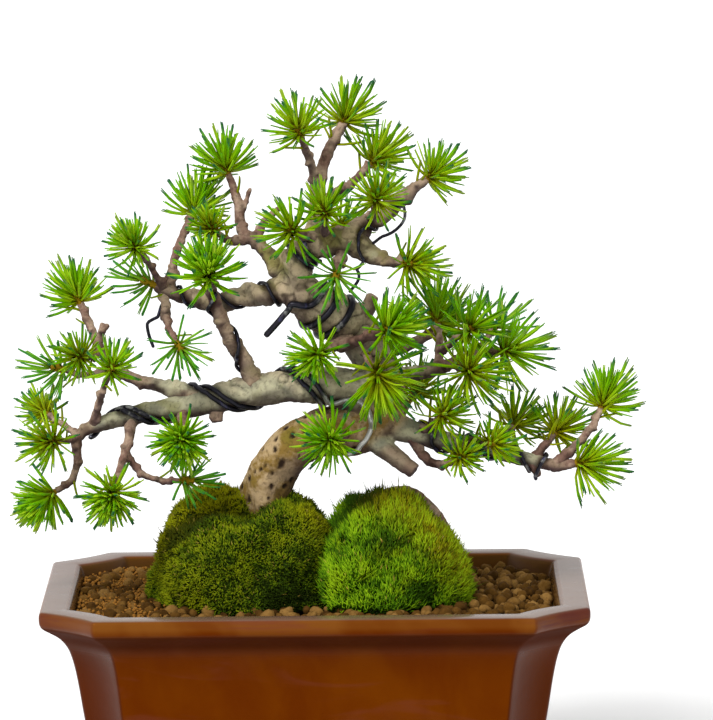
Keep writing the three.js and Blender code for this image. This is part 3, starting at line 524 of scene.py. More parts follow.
def places_of(piece: Object) -> Array:
    """A piece's points, in millimetres from the middle of the pot."""
    return rows_of(piece, "co") / MM - SHIFT


def settle(piece: Object) -> None:
    """Applies a piece's modifiers to its mesh.

    Args:
        piece: The piece.
    """
    graph = bpy.context.evaluated_depsgraph_get()
    mesh = bpy.data.meshes.new_from_object(piece.evaluated_get(graph))
    piece.modifiers.clear()
    piece.data = mesh


def linked(name: str, data: bpy.types.ID) -> Object:
    """A new object of some data, linked into the scene.

    Args:
        name: What it is called.
        data: Its mesh, camera or lamp.

    Returns:
        The object.
    """
    piece = bpy.data.objects.new(name, data)
    bpy.context.scene.collection.objects.link(piece)
    return piece


def hand_over(piece: Object, material: Material, slot: str, *nodes: str) -> None:
    """Dresses a piece, fixes it to the body and lets it stand for its CAD nodes.

    Args:
        piece: The finished piece.
        material: Its finish.
        slot: Not used.
        *nodes: The CAD nodes that it stands for.
    """
    piece.data.materials.clear()
    piece.data.materials.append(material)
    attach(piece, BODY)
    if nodes:
        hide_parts(*nodes)
    log.info("%s: %d points", piece.name, len(piece.data.vertices))


def corners_of(node: str) -> bmesh.types.BMesh:
    """A CAD node's mesh with its shared corners merged.

    Args:
        node: The node's name.

    Returns:
        The mesh, which the caller frees.
    """
    mesh = bmesh.new()
    mesh.from_mesh(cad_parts[node].data)
    bmesh.ops.remove_doubles(mesh, verts=mesh.verts, dist=0.00001)
    return mesh


# Shader nodes


class Socket:
    """One output of a node. Arithmetic on it adds Math nodes."""

    def __init__(self, shader: "Shader", output: bpy.types.NodeSocket) -> None:
        self.shader = shader
        self.output = output

    def _math(self, operation: str, first: "Value", second: "Value") -> "Socket":
        """One Math node on two values."""
        return self.shader.node("Math", {"operation": operation}, {0: first, 1: second})

    def __add__(self, other: "Value") -> "Socket":
        """self + other."""
        return self._math("ADD", self, other)

    __radd__ = __add__

    def __sub__(self, other: "Value") -> "Socket":
        """self - other."""
        return self._math("SUBTRACT", self, other)

    def __mul__(self, other: "Value") -> "Socket":
        """self * other."""
        return self._math("MULTIPLY", self, other)

    __rmul__ = __mul__


Value = Socket | float


class Shader:
    """A material and the nodes that are added to it."""

    def __init__(self, name: str) -> None:
        self.material = bpy.data.materials.new(name)
        self.material.use_nodes = True
        self.tree = self.material.node_tree
        self.tree.nodes.clear()
        self.coordinates: Socket | None = None

    def node(self, kind: str, settings: dict | None = None, inputs: dict | None = None,
             output: int | str = 0) -> Socket:
        """Adds a node.

        Args:
            kind: Its type, without the ShaderNode in front.
            settings: Its settings, or the stops of a ramp.
            inputs: Values or links for its sockets, by name or place.
            output: Which of its outputs is wanted.

        Returns:
            That output.
        """
        node = self.tree.nodes.new("ShaderNode" + kind)
        for key, value in (settings or {}).items():
            if key == "stops":
                self._set_stops(node.color_ramp, value)
            else:
                setattr(node, key, value)
        for key, value in (inputs or {}).items():
            if isinstance(value, Socket):
                self.tree.links.new(value.output, node.inputs[key])
            else:
                node.inputs[key].default_value = value
        return Socket(self, node.outputs[output])

    @staticmethod
    def _set_stops(ramp: bpy.types.ColorRamp, stops: list[tuple[float, str]]) -> None:
        """Gives a ramp its places and colours.

        Args:
            ramp: The ramp.
            stops: Each place, from 0 to 1, and the code of its colour.
        """
        for _ in stops[2:]:
            ramp.elements.new(0.5)
        for element, (place, code) in zip(ramp.elements, stops, strict=True):
            element.position = place
            element.color = colour(code)

    def place(self, stretch: Triple = (1, 1, 1)) -> Socket:
        """The piece's own coordinates in millimetres, stretched.

        Args:
            stretch: A factor for each axis, below 1 for longer features.

        Returns:
            The coordinates.
        """
        if self.coordinates is None:
            self.coordinates = self.node("TexCoord", output="Object")
        scale = tuple(s / MM for s in stretch)
        return self.node("VectorMath", {"operation": "MULTIPLY"}, {0: self.coordinates, 1: scale})

    def noise(self, size: float, detail: float = 3, warp: float = 0,
              stretch: Triple = (1, 1, 1)) -> Socket:
        """Cloudy noise.

        Args:
            size: How large its features are, in millimetres.
            detail: How much finer noise is added.
            warp: How far it is drawn out of shape.
            stretch: A factor for each axis, below 1 for longer features.

        Returns:
            A number from about 0 to 1.
        """
        inputs = {"Vector": self.place(stretch), "Scale": 1 / size, "Detail": detail,
                  "Distortion": warp}
        return self.node("TexNoise", None, inputs)

    def cells(self, size: float, output: str = "Distance") -> Socket:
        """Scattered cells of about a size in millimetres."""
        return self.node("TexVoronoi", None, {"Vector": self.place(), "Scale": 1 / size},
                         output=output)

    def mark(self, name: str) -> Socket:
        """The number that the mesh carries under a name."""
        return self.node("Attribute", {"attribute_name": name}, output="Fac")

    def rise(self, value: Socket, low: float, high: float) -> Socket:
        """0 below low and 1 above high, with a smooth rise between."""
        return self.node("MapRange", {"interpolation_type": "SMOOTHSTEP"},
                         {"Value": value, "From Min": low, "From Max": high})

    def height(self) -> Socket:
        """How high a point is, in millimetres."""
        return self.node("SeparateXYZ", None, {0: self.place()}, output="Z")

    def ramp(self, value: Socket, *stops: tuple[float, str]) -> Socket:
        """A colour for each value."""
        return self.node("ValToRGB", {"stops": list(stops)}, {0: value})

    def mix(self, share: Value, first: Socket | str, second: Socket | str,
            blend: str = "MIX") -> Socket:
        """Two colours mixed.

        Args:
            share: How much of the second, from 0 to 1.
            first: A colour, or its code.
            second: The same.
            blend: Blender's name for the way they mix.

        Returns:
            The mixed colour.
        """
        sides = [colour(c) if isinstance(c, str) else c for c in (first, second)]
        return self.node("Mix", {"data_type": "RGBA", "blend_type": blend},
                         {0: share, 6: sides[0], 7: sides[1]}, output=2)

    def bump(self, height: Socket, depth: float, under: Socket | None = None) -> Socket:
        """A normal for a relief.

        Args:
            height: The relief, from 0 to 1.
            depth: How high 1 is, in millimetres.
            under: A normal that it is laid over, or None.

        Returns:
            The normal.
        """
        inputs = {"Height": height, "Distance": depth * MM}
        if under is not None:
            inputs["Normal"] = under
        return self.node("Bump", None, inputs)

    def finish(self, base: Socket, roughness: Value, normal: Socket | None = None,
               **constants: float | tuple[float, ...]) -> Material:
        """Closes the material with one surface shader.

        Args:
            base: The colour.
            roughness: From 0, mirror, to 1.
            normal: The relief, or None.
            **constants: Further sockets of the shader, with _ for a space.

        Returns:
            The material.
        """
        inputs = {"Base Color": base, "Roughness": roughness}
        if normal is not None:
            inputs["Normal"] = normal
        inputs |= {name.replace("_", " "): value for name, value in constants.items()}
        surface = self.node("BsdfPrincipled", None, inputs)
        self.node_output(surface)
        return self.material

    def node_output(self, surface: Socket) -> None:
        """Links a surface to the material's output."""
        output = self.tree.nodes.new("ShaderNodeOutputMaterial")
        self.tree.links.new(surface.output, output.inputs["Surface"])


# Finishes


@dataclass(frozen=True)
class GlazeFinish:
    """A deep brown glaze that runs thin and paler on the lip, with painted shade under the lip and on
    the cut corners and a painted grey reflection on the rim.
    """

    wall: str = "#552100"
    warm: str = "#612c00"
    lip: str = "#6f4014"
    blush: str = "#643023"
    # Painted shade under the lip, and the dark speckles
    dark_shade_and_speckle: str = "#260800"
    # A pale grey, painted reflection on the rim's flat top
    rim: str = "#82746c"
    clay: str = "#6e4a34"
    # The next two colours are painted shade on the cut corners: on the lip, and on the wall
    lip_corner_shade: str = "#4c2422"
    corner: str = "#3e1400"
    dust: str = "#4e3a1a"
    sheen: str = "#d0702c"
    lip_foot: float = 70.6
    lip_shade_foot: float = 61
    rim_foot: float = 77.6
    # Where the glaze ends at the feet, and where the rim's painted reflection is weakest: in its
    # middle, in front
    bare_from: Pair = (1.6, 0.6)
    reflection_across: Pair = (30, 75)
    back_from: Pair = (-66, -62)

    def material(self) -> Material:
        """The glaze as a material.

        Returns:
            The material.
        """
        shader = Shader("brown glaze")
        height = shader.height()
        cloud = shader.noise(26, 4, 0.6, (1, 1, 0.45))
        body = shader.mix(shader.rise(cloud, 0.35, 0.7), self.wall, self.warm)
        flush = shader.rise(shader.noise(19, 3, 0.8, (0.4, 1, 1.6)), 0.56, 0.74)
        body = shader.mix(flush * 0.35, body, self.blush)
        # Painted shade: the wall turns dark up to just under the lip, where the lip overhangs it
        lip_shade = shader.rise(height, self.lip_shade_foot, self.lip_foot - 3)
        body = shader.mix(lip_shade * 0.75, body, self.dark_shade_and_speckle)
        # Painted shade: the cut corners are darkened, on the wall and, in plum, on the lip's corners
        corner = shader.mark("corner")
        body = shader.mix(corner * 0.7, body, self.corner)
        lip = shader.rise(height, self.lip_foot + 0.4, self.lip_foot + 2.4)
        streak = shader.rise(shader.noise(15, 4, 0.4, (0.35, 0.35, 3)), 0.46, 0.7)
        edge = shader.mix(streak * 0.8, self.lip, self.blush)
        deeper = shader.rise(height, self.lip_foot + 4.8, self.lip_foot + 2) * 0.5
        deeper = deeper + shader.rise(shader.noise(36, 3, 0.5), 0.42, 0.62) * 0.55
        edge = shader.mix(deeper, edge, self.wall)
        body = shader.mix(lip, body, shader.mix(corner * (0.3 + streak * 0.5), edge, self.lip_corner_shade))
        body = shader.mix(shader.mark("inside") * 0.7, body, self.dust)
        speckle = shader.rise(shader.cells(2.6), 0.1, 0.02)
        speckle = speckle * shader.rise(shader.noise(9), 0.5, 0.62)
        body = shader.mix(speckle * 0.35, body, self.dark_shade_and_speckle)
        place = shader.place()
        across, back = (shader.node("SeparateXYZ", None, {0: place}, output=axis) for axis in "XY")
        across = across - float(SHIFT[0])
        # Painted reflection: the rim's flat top is mixed to a pale grey, less so in the middle of its
        # front
        worn = shader.rise(across * across, self.reflection_across[0] ** 2, self.reflection_across[1] ** 2)
        worn = 0.42 + 0.38 * shader.rise(worn + shader.rise(back, *self.back_from), 0, 1)
        rim = shader.rise(height, self.rim_foot, self.rim_foot + 0.5)
        body = shader.mix(rim * worn, body, self.rim)
        bare = shader.rise(height, *self.bare_from)
        body = shader.mix(bare, body, self.clay)
        hollow = lip_shade * shader.rise(height, self.lip_foot + 2, self.lip_foot + 1)
        rough = 0.15 + shader.noise(14, 3) * 0.1 + bare * 0.6 + hollow * 0.6
        relief = shader.bump(shader.noise(11, 2), 0.16)
        relief = shader.bump(shader.noise(1.4, 2), 0.012, relief)
        return shader.finish(body, rough, relief, Specular_IOR_Level=0.2,
                             Specular_Tint=colour(self.sheen))


@dataclass(frozen=True)
class GritFinish:
    """Fired brown soil pellets, each of its own shade, dusty and porous."""

    dark: str = "#271503"
    middle: str = "#5e4017"
    pale: str = "#8f6b38"
    crumb: str = "#a06c2c"

    def material(self) -> Material:
        """The soil as a material.

        Returns:
            The material.
        """
        shader = Shader("soil grit")
        shade = shader.mark("shade") * 0.75 + shader.noise(1.6, 4) * 0.5 - 0.12
        body = shader.ramp(shade, (0.05, self.dark), (0.5, self.middle), (0.95, self.pale))
        body = shader.mix(shader.mark("crumb") * 0.7, body, self.crumb)
        pores = shader.rise(shader.cells(0.9), 0.3, 0.1)
        body = shader.mix(pores * 0.4, body, self.dark)
        relief = shader.bump(shader.noise(0.8, 4), 0.25)
        return shader.finish(body, 0.95, relief, Specular_IOR_Level=0.08)


@dataclass(frozen=True)
class MossFinish:
    """Moss: painted shade between its stems and in its creases, with patches of another shade and paler
    tips.
    """

    name: str
    # deep is the colour of the painted shade, and of the dark clumps
    deep: str
    body: str
    patch: str
    tip: str
    dry: str
    ripe: str
    patch_size: float
    patch_share: float

    def material(self) -> Material:
        """The moss as a material.

        Returns:
            The material.
        """
        shader = Shader(self.name)
        along = shader.mark("along")
        shade = shader.mark("shade")
        cloud = shader.noise(self.patch_size, 3, 0.4)
        patches = shader.rise(cloud + shade * 0.2, 0.72 - self.patch_share, 0.78)
        body = shader.mix(patches, self.body, self.patch)
        body = shader.mix(shader.mark("ripe") * (0.55 + cloud * 0.6), body, self.ripe)
        # Darker where the shade mark is low: at random in clumps, and as painted shade in creases and
        # shaded spots
        body = shader.mix(shader.rise(shade, 0.5, 0.05) * 0.75, body, self.deep)
        lit = shader.rise(along, 0.45, 1.0) * shader.rise(shade, 0.25, 0.95)
        body = shader.mix(lit, body, self.tip)
        # Painted shade: darker towards the blades' roots and over the cushion under them
        body = shader.mix(shader.rise(along, 0.55, 0.1) * 0.9, body, self.deep)
        body = shader.mix(shader.mark("dry"), body, self.dry)
        return shader.finish(body, 0.8, None, Specular_IOR_Level=0.1)


@dataclass(frozen=True)
class BarkFinish:
    """Pine bark: tan and scarred on the trunk, grey-tan on branches, pinkish on twigs, with painted
    shade on the undersides and beside the wires.
    """

    trunk: str = "#83672e"
    pale: str = "#b59b74"
    branch: str = "#b3ae90"
    grey: str = "#85836e"
    rose: str = "#a38f74"
    pruned: str = "#8e7763"
    twig: str = "#7b5c50"
    twig_pale: str = "#ae9580"
    # Painted shade on the undersides
    under: str = "#35222a"
    dark: str = "#26160a"
    algae: str = "#6d6a14"
    proud: str = "#c2ad8e"
    # Heights from which the wood turns rose and blotched, and where the crown's algae begin and end
    rose_from: Pair = (150, 185)
    blotch_from: Pair = (165, 190)
    algae_from: Pair = (192, 206)
    algae_to: Pair = (230, 216)

    def material(self) -> Material:
        """The bark as a material.

        Returns:
            The material.
        """
        shader = Shader("pine bark")
        age = shader.mark("age")
        cloud = shader.noise(9, 4, 0.5)
        fine = shader.noise(1.3, 4)
        young = shader.mix(shader.rise(cloud + fine * 0.2, 0.5, 0.75), self.twig, self.twig_pale)
        limb = shader.mix(shader.rise(cloud, 0.42, 0.62), self.branch, self.grey)
        warm = shader.rise(shader.noise(14, 3, 0.6), 0.36, 0.56)
        warm = shader.rise(shader.height(), *self.rose_from) * warm
        limb = shader.mix(warm * 0.85, limb, self.rose)
        limb = shader.mix(shader.rise(age, 0.6, 0.5) * (0.5 + cloud * 0.8), limb, self.pruned)
        limb = shader.mix(shader.rise(age, 0.12, 0.4), young, limb)
        old = shader.mix(shader.rise(cloud + fine * 0.3, 0.56, 0.8), self.trunk, self.pale)
        body = shader.mix(shader.rise(age, 0.62, 0.85), limb, old)
        green = shader.noise(17, 3, 0.3)
        crown = shader.rise(shader.height(), *self.algae_from)
        crown = crown * shader.rise(shader.height(), *self.algae_to)
        green = shader.rise(green + crown * 0.14, 0.55, 0.68) * shader.rise(age, 0.2, 0.6)
        body = shader.mix(green * (0.5 + crown * 0.2), body, self.algae)
        body = shader.mix(shader.mark("proud") * 0.6, body, self.proud)
        blotch = shader.rise(shader.noise(6, 4, 0.6), 0.5, 0.66) * shader.rise(age, 0.25, 0.6)
        blotch = blotch * shader.rise(shader.height(), *self.blotch_from)
        body = shader.mix(blotch * 0.55, body, self.dark)
        # Painted shade: undersides turn purple-brown
        body = shader.mix(shader.mark("under") * (0.5 + cloud * 0.6), body, self.under)
        grain = shader.rise(shader.noise(1.7, 5, 0.8), 0.5, 0.7)
        body = shader.mix(grain * 0.38, body, self.dark)
        # Dark cracks, pits and spots, and painted shade beside the wires
        body = shader.mix(shader.mark("scar_and_shade"), body, self.dark)
        relief = shader.bump(shader.noise(1.1, 5, 0.5), 0.3)
        return shader.finish(body, 0.8, relief, Specular_IOR_Level=0.2)


@dataclass(frozen=True)
class WireFinish:
    """Dark anodised training wire, worn to grey metal where it stands off the wood, with pale grey
    streaks of painted highlight.
    """

    dark: str = "#191722"
    # Bare grey metal, and the colour of the painted highlights
    worn: str = "#b9b9b4"
    scuff: str = "#4a4874"
    worn_at: Triple = (17, -13, 140)
    worn_reach: float = 17

    def material(self) -> Material:
        """The wire as a material.

        Returns:
            The material.
        """
        shader = Shader("training wire")
        away = shader.node("VectorMath", {"operation": "DISTANCE"},
                           {0: shader.place(), 1: tuple(np.array(self.worn_at) + SHIFT)},
                           output="Value")
        rubbed = shader.rise(away, self.worn_reach + 4, self.worn_reach - 3)
        scuffs = shader.rise(shader.noise(3.5, 4, 0.5), 0.55, 0.72)
        body = shader.mix(scuffs * 0.5, self.dark, self.scuff)
        # Painted highlight: pale grey streaks at random along the wires
        highlight_streaks = shader.rise(shader.noise(7, 2), 0.54, 0.66)
        highlight_streaks = highlight_streaks * shader.rise(shader.noise(1.8, 3), 0.4, 0.6)
        body = shader.mix(highlight_streaks * 0.4, body, self.worn)
        body = shader.mix(rubbed * 0.9, body, self.worn)
        rough = 0.3 + shader.noise(2, 3) * 0.2
        relief = shader.bump(shader.noise(0.7, 3), 0.03)
        return shader.finish(body, rough, relief, Metallic=0.6)


@dataclass(frozen=True)
class NeedleFinish:
    """Needles: olive at the sheath, fresh yellow-green along them and blue-green at the tip."""

    sheath: str = "#ac8e08"
    base: str = "#a8bc04"
    middle: str = "#84bb04"
    far: str = "#64a808"
    tip: str = "#235c40"
    bloom: str = "#c8de2a"
    deep: str = "#3c7200"
    cool: str = "#3f9c3c"
    olive: str = "#a49208"
    old: str = "#8f8a10"
    bud: str = "#7c5018"

    def material(self) -> Material:
        """The needles as a material.

        Returns:
            The material.
        """
        shader = Shader("pine needles")
        along = shader.mark("along")
        shade = shader.mark("shade")
        hue = shader.mark("hue")
        body = shader.ramp(along, (0.0, self.sheath), (0.12, self.base), (0.45, self.middle),
                           (0.8, self.far), (0.97, self.tip))
        body = shader.mix(shader.rise(hue, 0.4, 0.05) * 0.5, body, self.cool)
        olive = shader.rise(hue, 0.55, 0.95) * shader.rise(along, 0.95, 0.25)
        body = shader.mix(olive * 0.6, body, self.olive)
        body = shader.mix(shader.rise(shade, 0.55, 1.0) * 0.45, body, self.bloom)
        body = shader.mix(shader.rise(shade, 0.45, 0.0) * 0.6, body, self.deep)
        body = shader.mix(shader.mark("old") * 0.6, body, self.old)
        body = shader.mix(shader.mark("bud"), body, self.bud)
        rough = 0.45 + shader.noise(3) * 0.12
        return shader.finish(body, rough, None, Specular_IOR_Level=0.14,
                             Specular_Tint=colour(self.bloom))


@dataclass(frozen=True)
class ScreenFinish:
    """Matte dark green plastic with a fine moulded grain."""

    body: str = "#1c2a20"
    dust: str = "#3b3526"

    def material(self) -> Material:
        """The screens' plastic as a material."""
        shader = Shader("screen plastic")
        body = shader.mix(shader.rise(shader.noise(5, 4), 0.5, 0.75) * 0.6, self.body, self.dust)
        return shader.finish(body, 0.6 + shader.noise(2) * 0.2, shader.bump(shader.noise(0.5), 0.03))


# The pot


@dataclass
class Pot:
    """The glazed pot: a loft of outlines with four feet and two drain holes."""

    width: float = 208
    depth: float = 152
    corner: float = 21
    corner_kept: float = 0.35
    dent: float = 1.4
    edge: float = 2.4
    # How far a foot stands in from the wall's lower edge, and its rings: how much further, and height
    foot_inset: float = 2.3
    foot_rings: tuple = ((1, 0), (0.1, 0.9), (-1.6, 8))
    foot_reach: float = 30
    foot_thick: float = 13
    drain_radius: float = 7.5
    drain_at: float = 38
    floor: float = 14
    # Inset from the rim's outline and height, up the outside, then down inside
    outside: tuple = (
        (21.5, 7), (21.2, 8.4), (16.4, 34), (13.9, 50), (12.2, 58), (10.4, 63), (7.8, 66.6),
        (4.2, 69.3), (1.4, 71.2), (0.3, 72.8), (0, 75), (0.25, 77.2), (0.95, 77.85),
    )
    top: tuple = ((1.7, 78), (5.6, 78), (9.6, 78))
    inside: tuple = (
        (10.5, 77.75), (11.4, 77), (13.5, 70), (17, 60), (22, 38), (26.6, 15), (27, 14),
    )

    def outline(self, inset: float) -> Array:
        """The outline at an inset: straight sides and cut corners that bow inwards.

        Args:
            inset: How far it stands in from the rim's outline.

        Returns:
            Its points, a quarter of them for each corner, from the right one at the back.
        """
        x, y = self.width / 2 - inset, self.depth / 2 - inset
        cut = self.corner - self.corner_kept * inset
        first, last = np.array([x, y - cut]), np.array([x - cut, y])
        inwards = np.array([-1, -1]) * math.sqrt(0.5)
        shares = np.linspace(0, 1, 9)[1:-1]
        bow = first + (last - first) * shares[:, None]
        bow += inwards * (self.dent * 4 * shares * (1 - shares))[:, None]
        edges = [self._soften(first, np.array([0, -1]), bow[0] - first),
                 self._soften(last, bow[-1] - last, np.array([-1, 0]))]
        quarter = np.vstack([edges[0], bow, edges[1]])
        sides = [(1, 1), (-1, 1), (-1, -1), (1, -1)]
        return np.vstack([(quarter * s)[:: s[0] * s[1]] for s in sides])

    def _soften(self, corner: Array, back: Array, on: Array) -> Array:
        """A corner rounded off between its two directions.

        Args:
            corner: Where it is.
            back: The way back along the outline.
            on: The way on along it.

        Returns:
            The points that take its place.
        """
        size = self.edge / 2
        start, end = corner + size * unit(back), corner + size * unit(on)
        t = np.linspace(0, 1, 5)[:, None]
        return (1 - t) ** 2 * start + 2 * t * (1 - t) * corner + t ** 2 * end

    def _smooth(self, profile: tuple) -> Array:
        """A profile with points added on a curve through it."""
        knots = np.array([(inset, height, 0) for inset, height in profile], float)
        return spline(knots, np.linspace(0, len(knots) - 1, 4 * (len(knots) - 1) + 1))[:, :2]

    def _shell(self) -> Form:
        """The walls and the floor as one closed shape.

        Returns:
            The shape.
        """
        levels = np.vstack([self._smooth(self.outside), self.top, self._smooth(self.inside)])
        rings = [at_height(self.outline(inset), z) for inset, z in levels]
        form = Form()
        form.add(np.vstack(rings), closed_faces(len(rings), len(rings[0])))
        return form

    def _foot(self, sx: int, sy: int) -> Solid:
        """One corner foot, an angle that follows the pot's outline.

        Args:
            sx: 1 for the right side and -1 for the left.
            sy: 1 for the back and -1 for the front.

        Returns:
            Its points and faces.
        """
        edge = self.outside[0][0]
        halves = np.array([self.width, self.depth]) / 2 - edge
        cut = self.corner - self.corner_kept * (edge + self.foot_thick)
        rings = []
        for spread, z in self.foot_rings:
            inset = edge + self.foot_inset + spread
            outer = self.outline(inset)
            x, y = self.width / 2 - inset, self.depth / 2 - inset
            inner_x, inner_y = halves - self.foot_thick + spread
            end_x, end_y = halves - self.foot_reach + spread
            path = np.vstack([[x, end_y], outer[: len(outer) // 4], [end_x, y], [end_x, inner_y],
                              [inner_x - cut, inner_y], [inner_x, inner_y - cut], [inner_x, end_y]])
            path = path * (sx, sy)
            rings.append(at_height(path[:: sx * sy], z))
        return np.vstack(rings), closed_faces(len(rings), len(rings[0]))

    def _drains(self) -> Object:
        """The two cylinders that the drain holes are cut with.

        Returns:
            Both, as one object.
        """
        form = Form()
        for side in (-1, 1):
            line = np.array([[side * self.drain_at, 0, z] for z in (2.0, self.floor + 4)])
            form.add(*tube(line, np.full(2, self.drain_radius), 40))
        return form.to_object("drain_cutter")

    def _mark(self, pot: Object) -> None:
        """Marks the cut corners, which the glaze darkens as painted shade, and the walls inside, which
        it colours otherwise.

        Args:
            pot: The finished pot.
        """
        out = rows_of(pot, "normal")[:, :2]
        level = np.linalg.norm(out, axis=1)
        slanted = 2 * np.abs(out[:, 0] * out[:, 1]) / np.maximum(level ** 2, 1e-6)
        corner = smoothstep(slanted, 0.35, 0.9) * smoothstep(level, 0.2, 0.5)
        facing = (unit(places_of(pot)[:, :2]) * out).sum(axis=1)
        add_marks(pot.data, {"corner": corner, "inside": smoothstep(facing, -0.3, -0.7)})

    def build(self) -> Object:
        """The pot's mesh.

        Returns:
            The piece.
        """
        form = self._shell()
        pot = form.to_object("glazed_pot")
        feet = Form()
        for sx, sy in ((1, 1), (-1, 1), (-1, -1), (1, -1)):
            feet.add(*self._foot(sx, sy))
        cutters = [(feet.to_object("feet"), "UNION"), (self._drains(), "DIFFERENCE")]
        for tool, operation in cutters:
            cut = pot.modifiers.new(operation.lower(), "BOOLEAN")
            cut.object = tool
            cut.operation = operation
            cut.solver = "EXACT"
        settle(pot)
        for tool, _ in cutters:
            bpy.data.objects.remove(tool)
        self._mark(pot)
        pot.data.shade_smooth()
        pot.data.set_sharp_from_angle(angle=math.radians(38))
        return pot

    def dress(self, pot: Object) -> None:
        """Gives the pot its glaze."""
        hand_over(pot, GlazeFinish().material(), "glaze", "pot")


# Moss and soil


@dataclass
class MossMound:
    """A moss mound: a dome of cushions under thousands of upright blades."""

    name: str
    centre: Pair
    half: Pair
    rise: float
    peak_shift: float
    square: float
    lean: float
    phase: float
    # Where the dome swells or creases: x, y, z, spread and how far it stands out
    lobes: tuple
    # Where it has ripened to yellow: x, y, z, spread and how much
    ripe_spots: tuple
    # Where painted shade darkens it, as its own shadow would: x, y, z, spread and how much
    shaded_spots: tuple
    blade_count: int
    blade_length: float
    blade_width: float
    blade_lift: float
    blade_mess: float
    cushion: float
    cushion_depth: float
    grain: float
    grain_depth: float
    seed: int
    finish: MossFinish
    foot: float = 72.85
    under: float = 1.7
    # The share of dark strands, with their length and width against a blade's, and of dry blades
    strand_share: float = 0.006
    strand_length: float = 2.1
    strand_width: float = 0.7
    dry_share: float = 0.012
    blade_droop: float = 0.2

    @property
    def heart(self) -> Array:
        """The middle of the foot, which the lobes stand out from."""
        return np.array([*self.centre, self.foot], float)

    def surface(self, angle: Array, climb: Array, grown: float) -> Array:
        """Points on the dome.

        Args:
            angle: Round the mound, in radians.
            climb: From the foot, 0, to the peak, a quarter turn.
            grown: How far outside the mound's own surface, in millimetres.

        Returns:
            One point for each pair.
        """
        power = 2 / (self.square + self.lean * np.cos(angle))
        k = climb / (math.pi / 2) * 7
        wave = 0.035 * np.sin(3 * angle + self.phase + k) + 0.025 * np.sin(7 * angle - 2 * k)
        wave = wave * smoothstep(np.cos(climb), 0, 0.3)
        out = np.maximum(np.cos(climb), 0) ** power * (1 + wave)
        up = np.sin(climb) ** power * (1 + 0.6 * wave)
        points = np.stack([
            self.centre[0] + self.peak_shift * up + (self.half[0] + grown) * out * np.cos(angle),
            self.centre[1] + (self.half[1] + grown) * out * np.sin(angle),
            self.foot + (self.rise + grown) * up,
        ], axis=-1)
        amount = np.zeros(len(points))
        for *spot, spread, height in self.lobes:
            away = np.linalg.norm(points - spot, axis=1)
            amount += height * np.exp(-(away / spread) ** 2)
        return points + unit(points - self.heart) * amount[:, None]

    def inside(self, points: Array, margin: float) -> Array:
        """Whether points lie inside the mound.

        Args:
            points: The places.
            margin: How far inside they have to be.

        Returns:
            True or False for each.
        """
        dx = np.abs(points[:, 0] - self.centre[0]) / (self.half[0] - margin)
        dy = np.abs(points[:, 1] - self.centre[1]) / (self.half[1] - margin)
        dz = np.abs(points[:, 2] - self.foot) / (self.rise - margin)
        return dx ** self.square + dy ** self.square + dz ** self.square < 1

    @staticmethod
    def _near(points: Array, spots: list | tuple) -> Array:
        """How near points are to some spots.

        Args:
            points: The places.
            spots: Each spot's x, y, z, spread and weight.

        Returns:
            A number from 0 to 1 for each point.
        """
        total = np.zeros(len(points))
        for *spot, spread, weight in spots:
            total += weight * np.exp(-(np.linalg.norm(points - spot, axis=1) / spread) ** 2)
        return np.minimum(total, 1)

    def _swell(self, points: Array) -> Array:
        """Moves points out to soft cushions with a grain on them.

        Args:
            points: Points on the dome.

        Returns:
            The moved points.
        """
        flat = np.abs(lumps(points, self.cushion, self.seed, 1))
        depth = self.cushion_depth * (smoothstep(flat, 0.0, 0.42) - 0.75)
        depth += self.grain_depth * lumps(points, self.grain, self.seed + 5, 1)
        return points + unit(points - self.heart) * depth[:, None]

    def _core(self) -> Solid:
        """The cushion under the blades, closed.

        Returns:
            Its points and faces.
        """
        sides, rings = 150, 52
        climbs = np.linspace(0, math.pi / 2, rings + 1)[:-1]
        angles = TURN * np.arange(sides) / sides
        climb, angle = np.meshgrid(climbs, angles, indexing="ij")
        skin = self._swell(self.surface(angle.ravel(), climb.ravel(), -self.under))
        skin[:sides, 2] = self.foot
        peak = skin[-sides:].mean(axis=0) + (0, 0, 0.1)
        faces = ring_faces(rings, sides)
        last, top = (rings - 1) * sides, rings * sides
        faces += [(last + i, last + (i + 1) % sides, top) for i in range(sides)]
        faces.append(tuple(range(sides - 1, -1, -1)))
        return np.vstack([skin, peak]), faces

    def _roots(self, random: Random) -> tuple[Array, Array]:
        """Spreads the blades evenly over the mound.

        Args:
            random: The random numbers.

        Returns:
            Where each stands, and which way is out there.
        """
        tries = 5 * self.blade_count
        angle = random.uniform(0, TURN, tries)
        climb = np.arcsin(random.uniform(0, 1, tries))
        step = 0.02
        here = self.surface(angle, climb, -self.under)
        round_way = self.surface(angle + step, climb, -self.under) - here
        up_way = self.surface(angle, np.maximum(climb - step, 0), -self.under) - here
        normal = np.cross(up_way, round_way)
        weight = np.linalg.norm(normal, axis=1) / np.maximum(np.cos(climb), 0.05)
        chosen = random.choice(tries, self.blade_count, replace=False, p=weight / weight.sum())
        out = unit(normal[chosen])
        out *= np.sign((out * (here[chosen] - self.heart)).sum(axis=1))[:, None]
        return self._swell(here[chosen]), out

    def _add_blades(self, form: Form, root: Array, out: Array, random: Random) -> None:
        """Adds the blades, each a slim three-sided spike.

        Args:
            form: Where they go.
            root: Where each stands.
            out: Which way is out there.
            random: The random numbers.
        """
        count = len(root)
        lift = unit(out * (1 - self.blade_lift) + np.array([0, 0, self.blade_lift])
                    + random.normal(0, self.blade_mess, (count, 3)))
        clump = lumps(root, 1.3 * self.grain, self.seed + 9, 1)
        creases = [(*spot[:4], -spot[4] / 5) for spot in self.lobes if spot[4] < 0]
        crease_shade = self._near(root, creases)
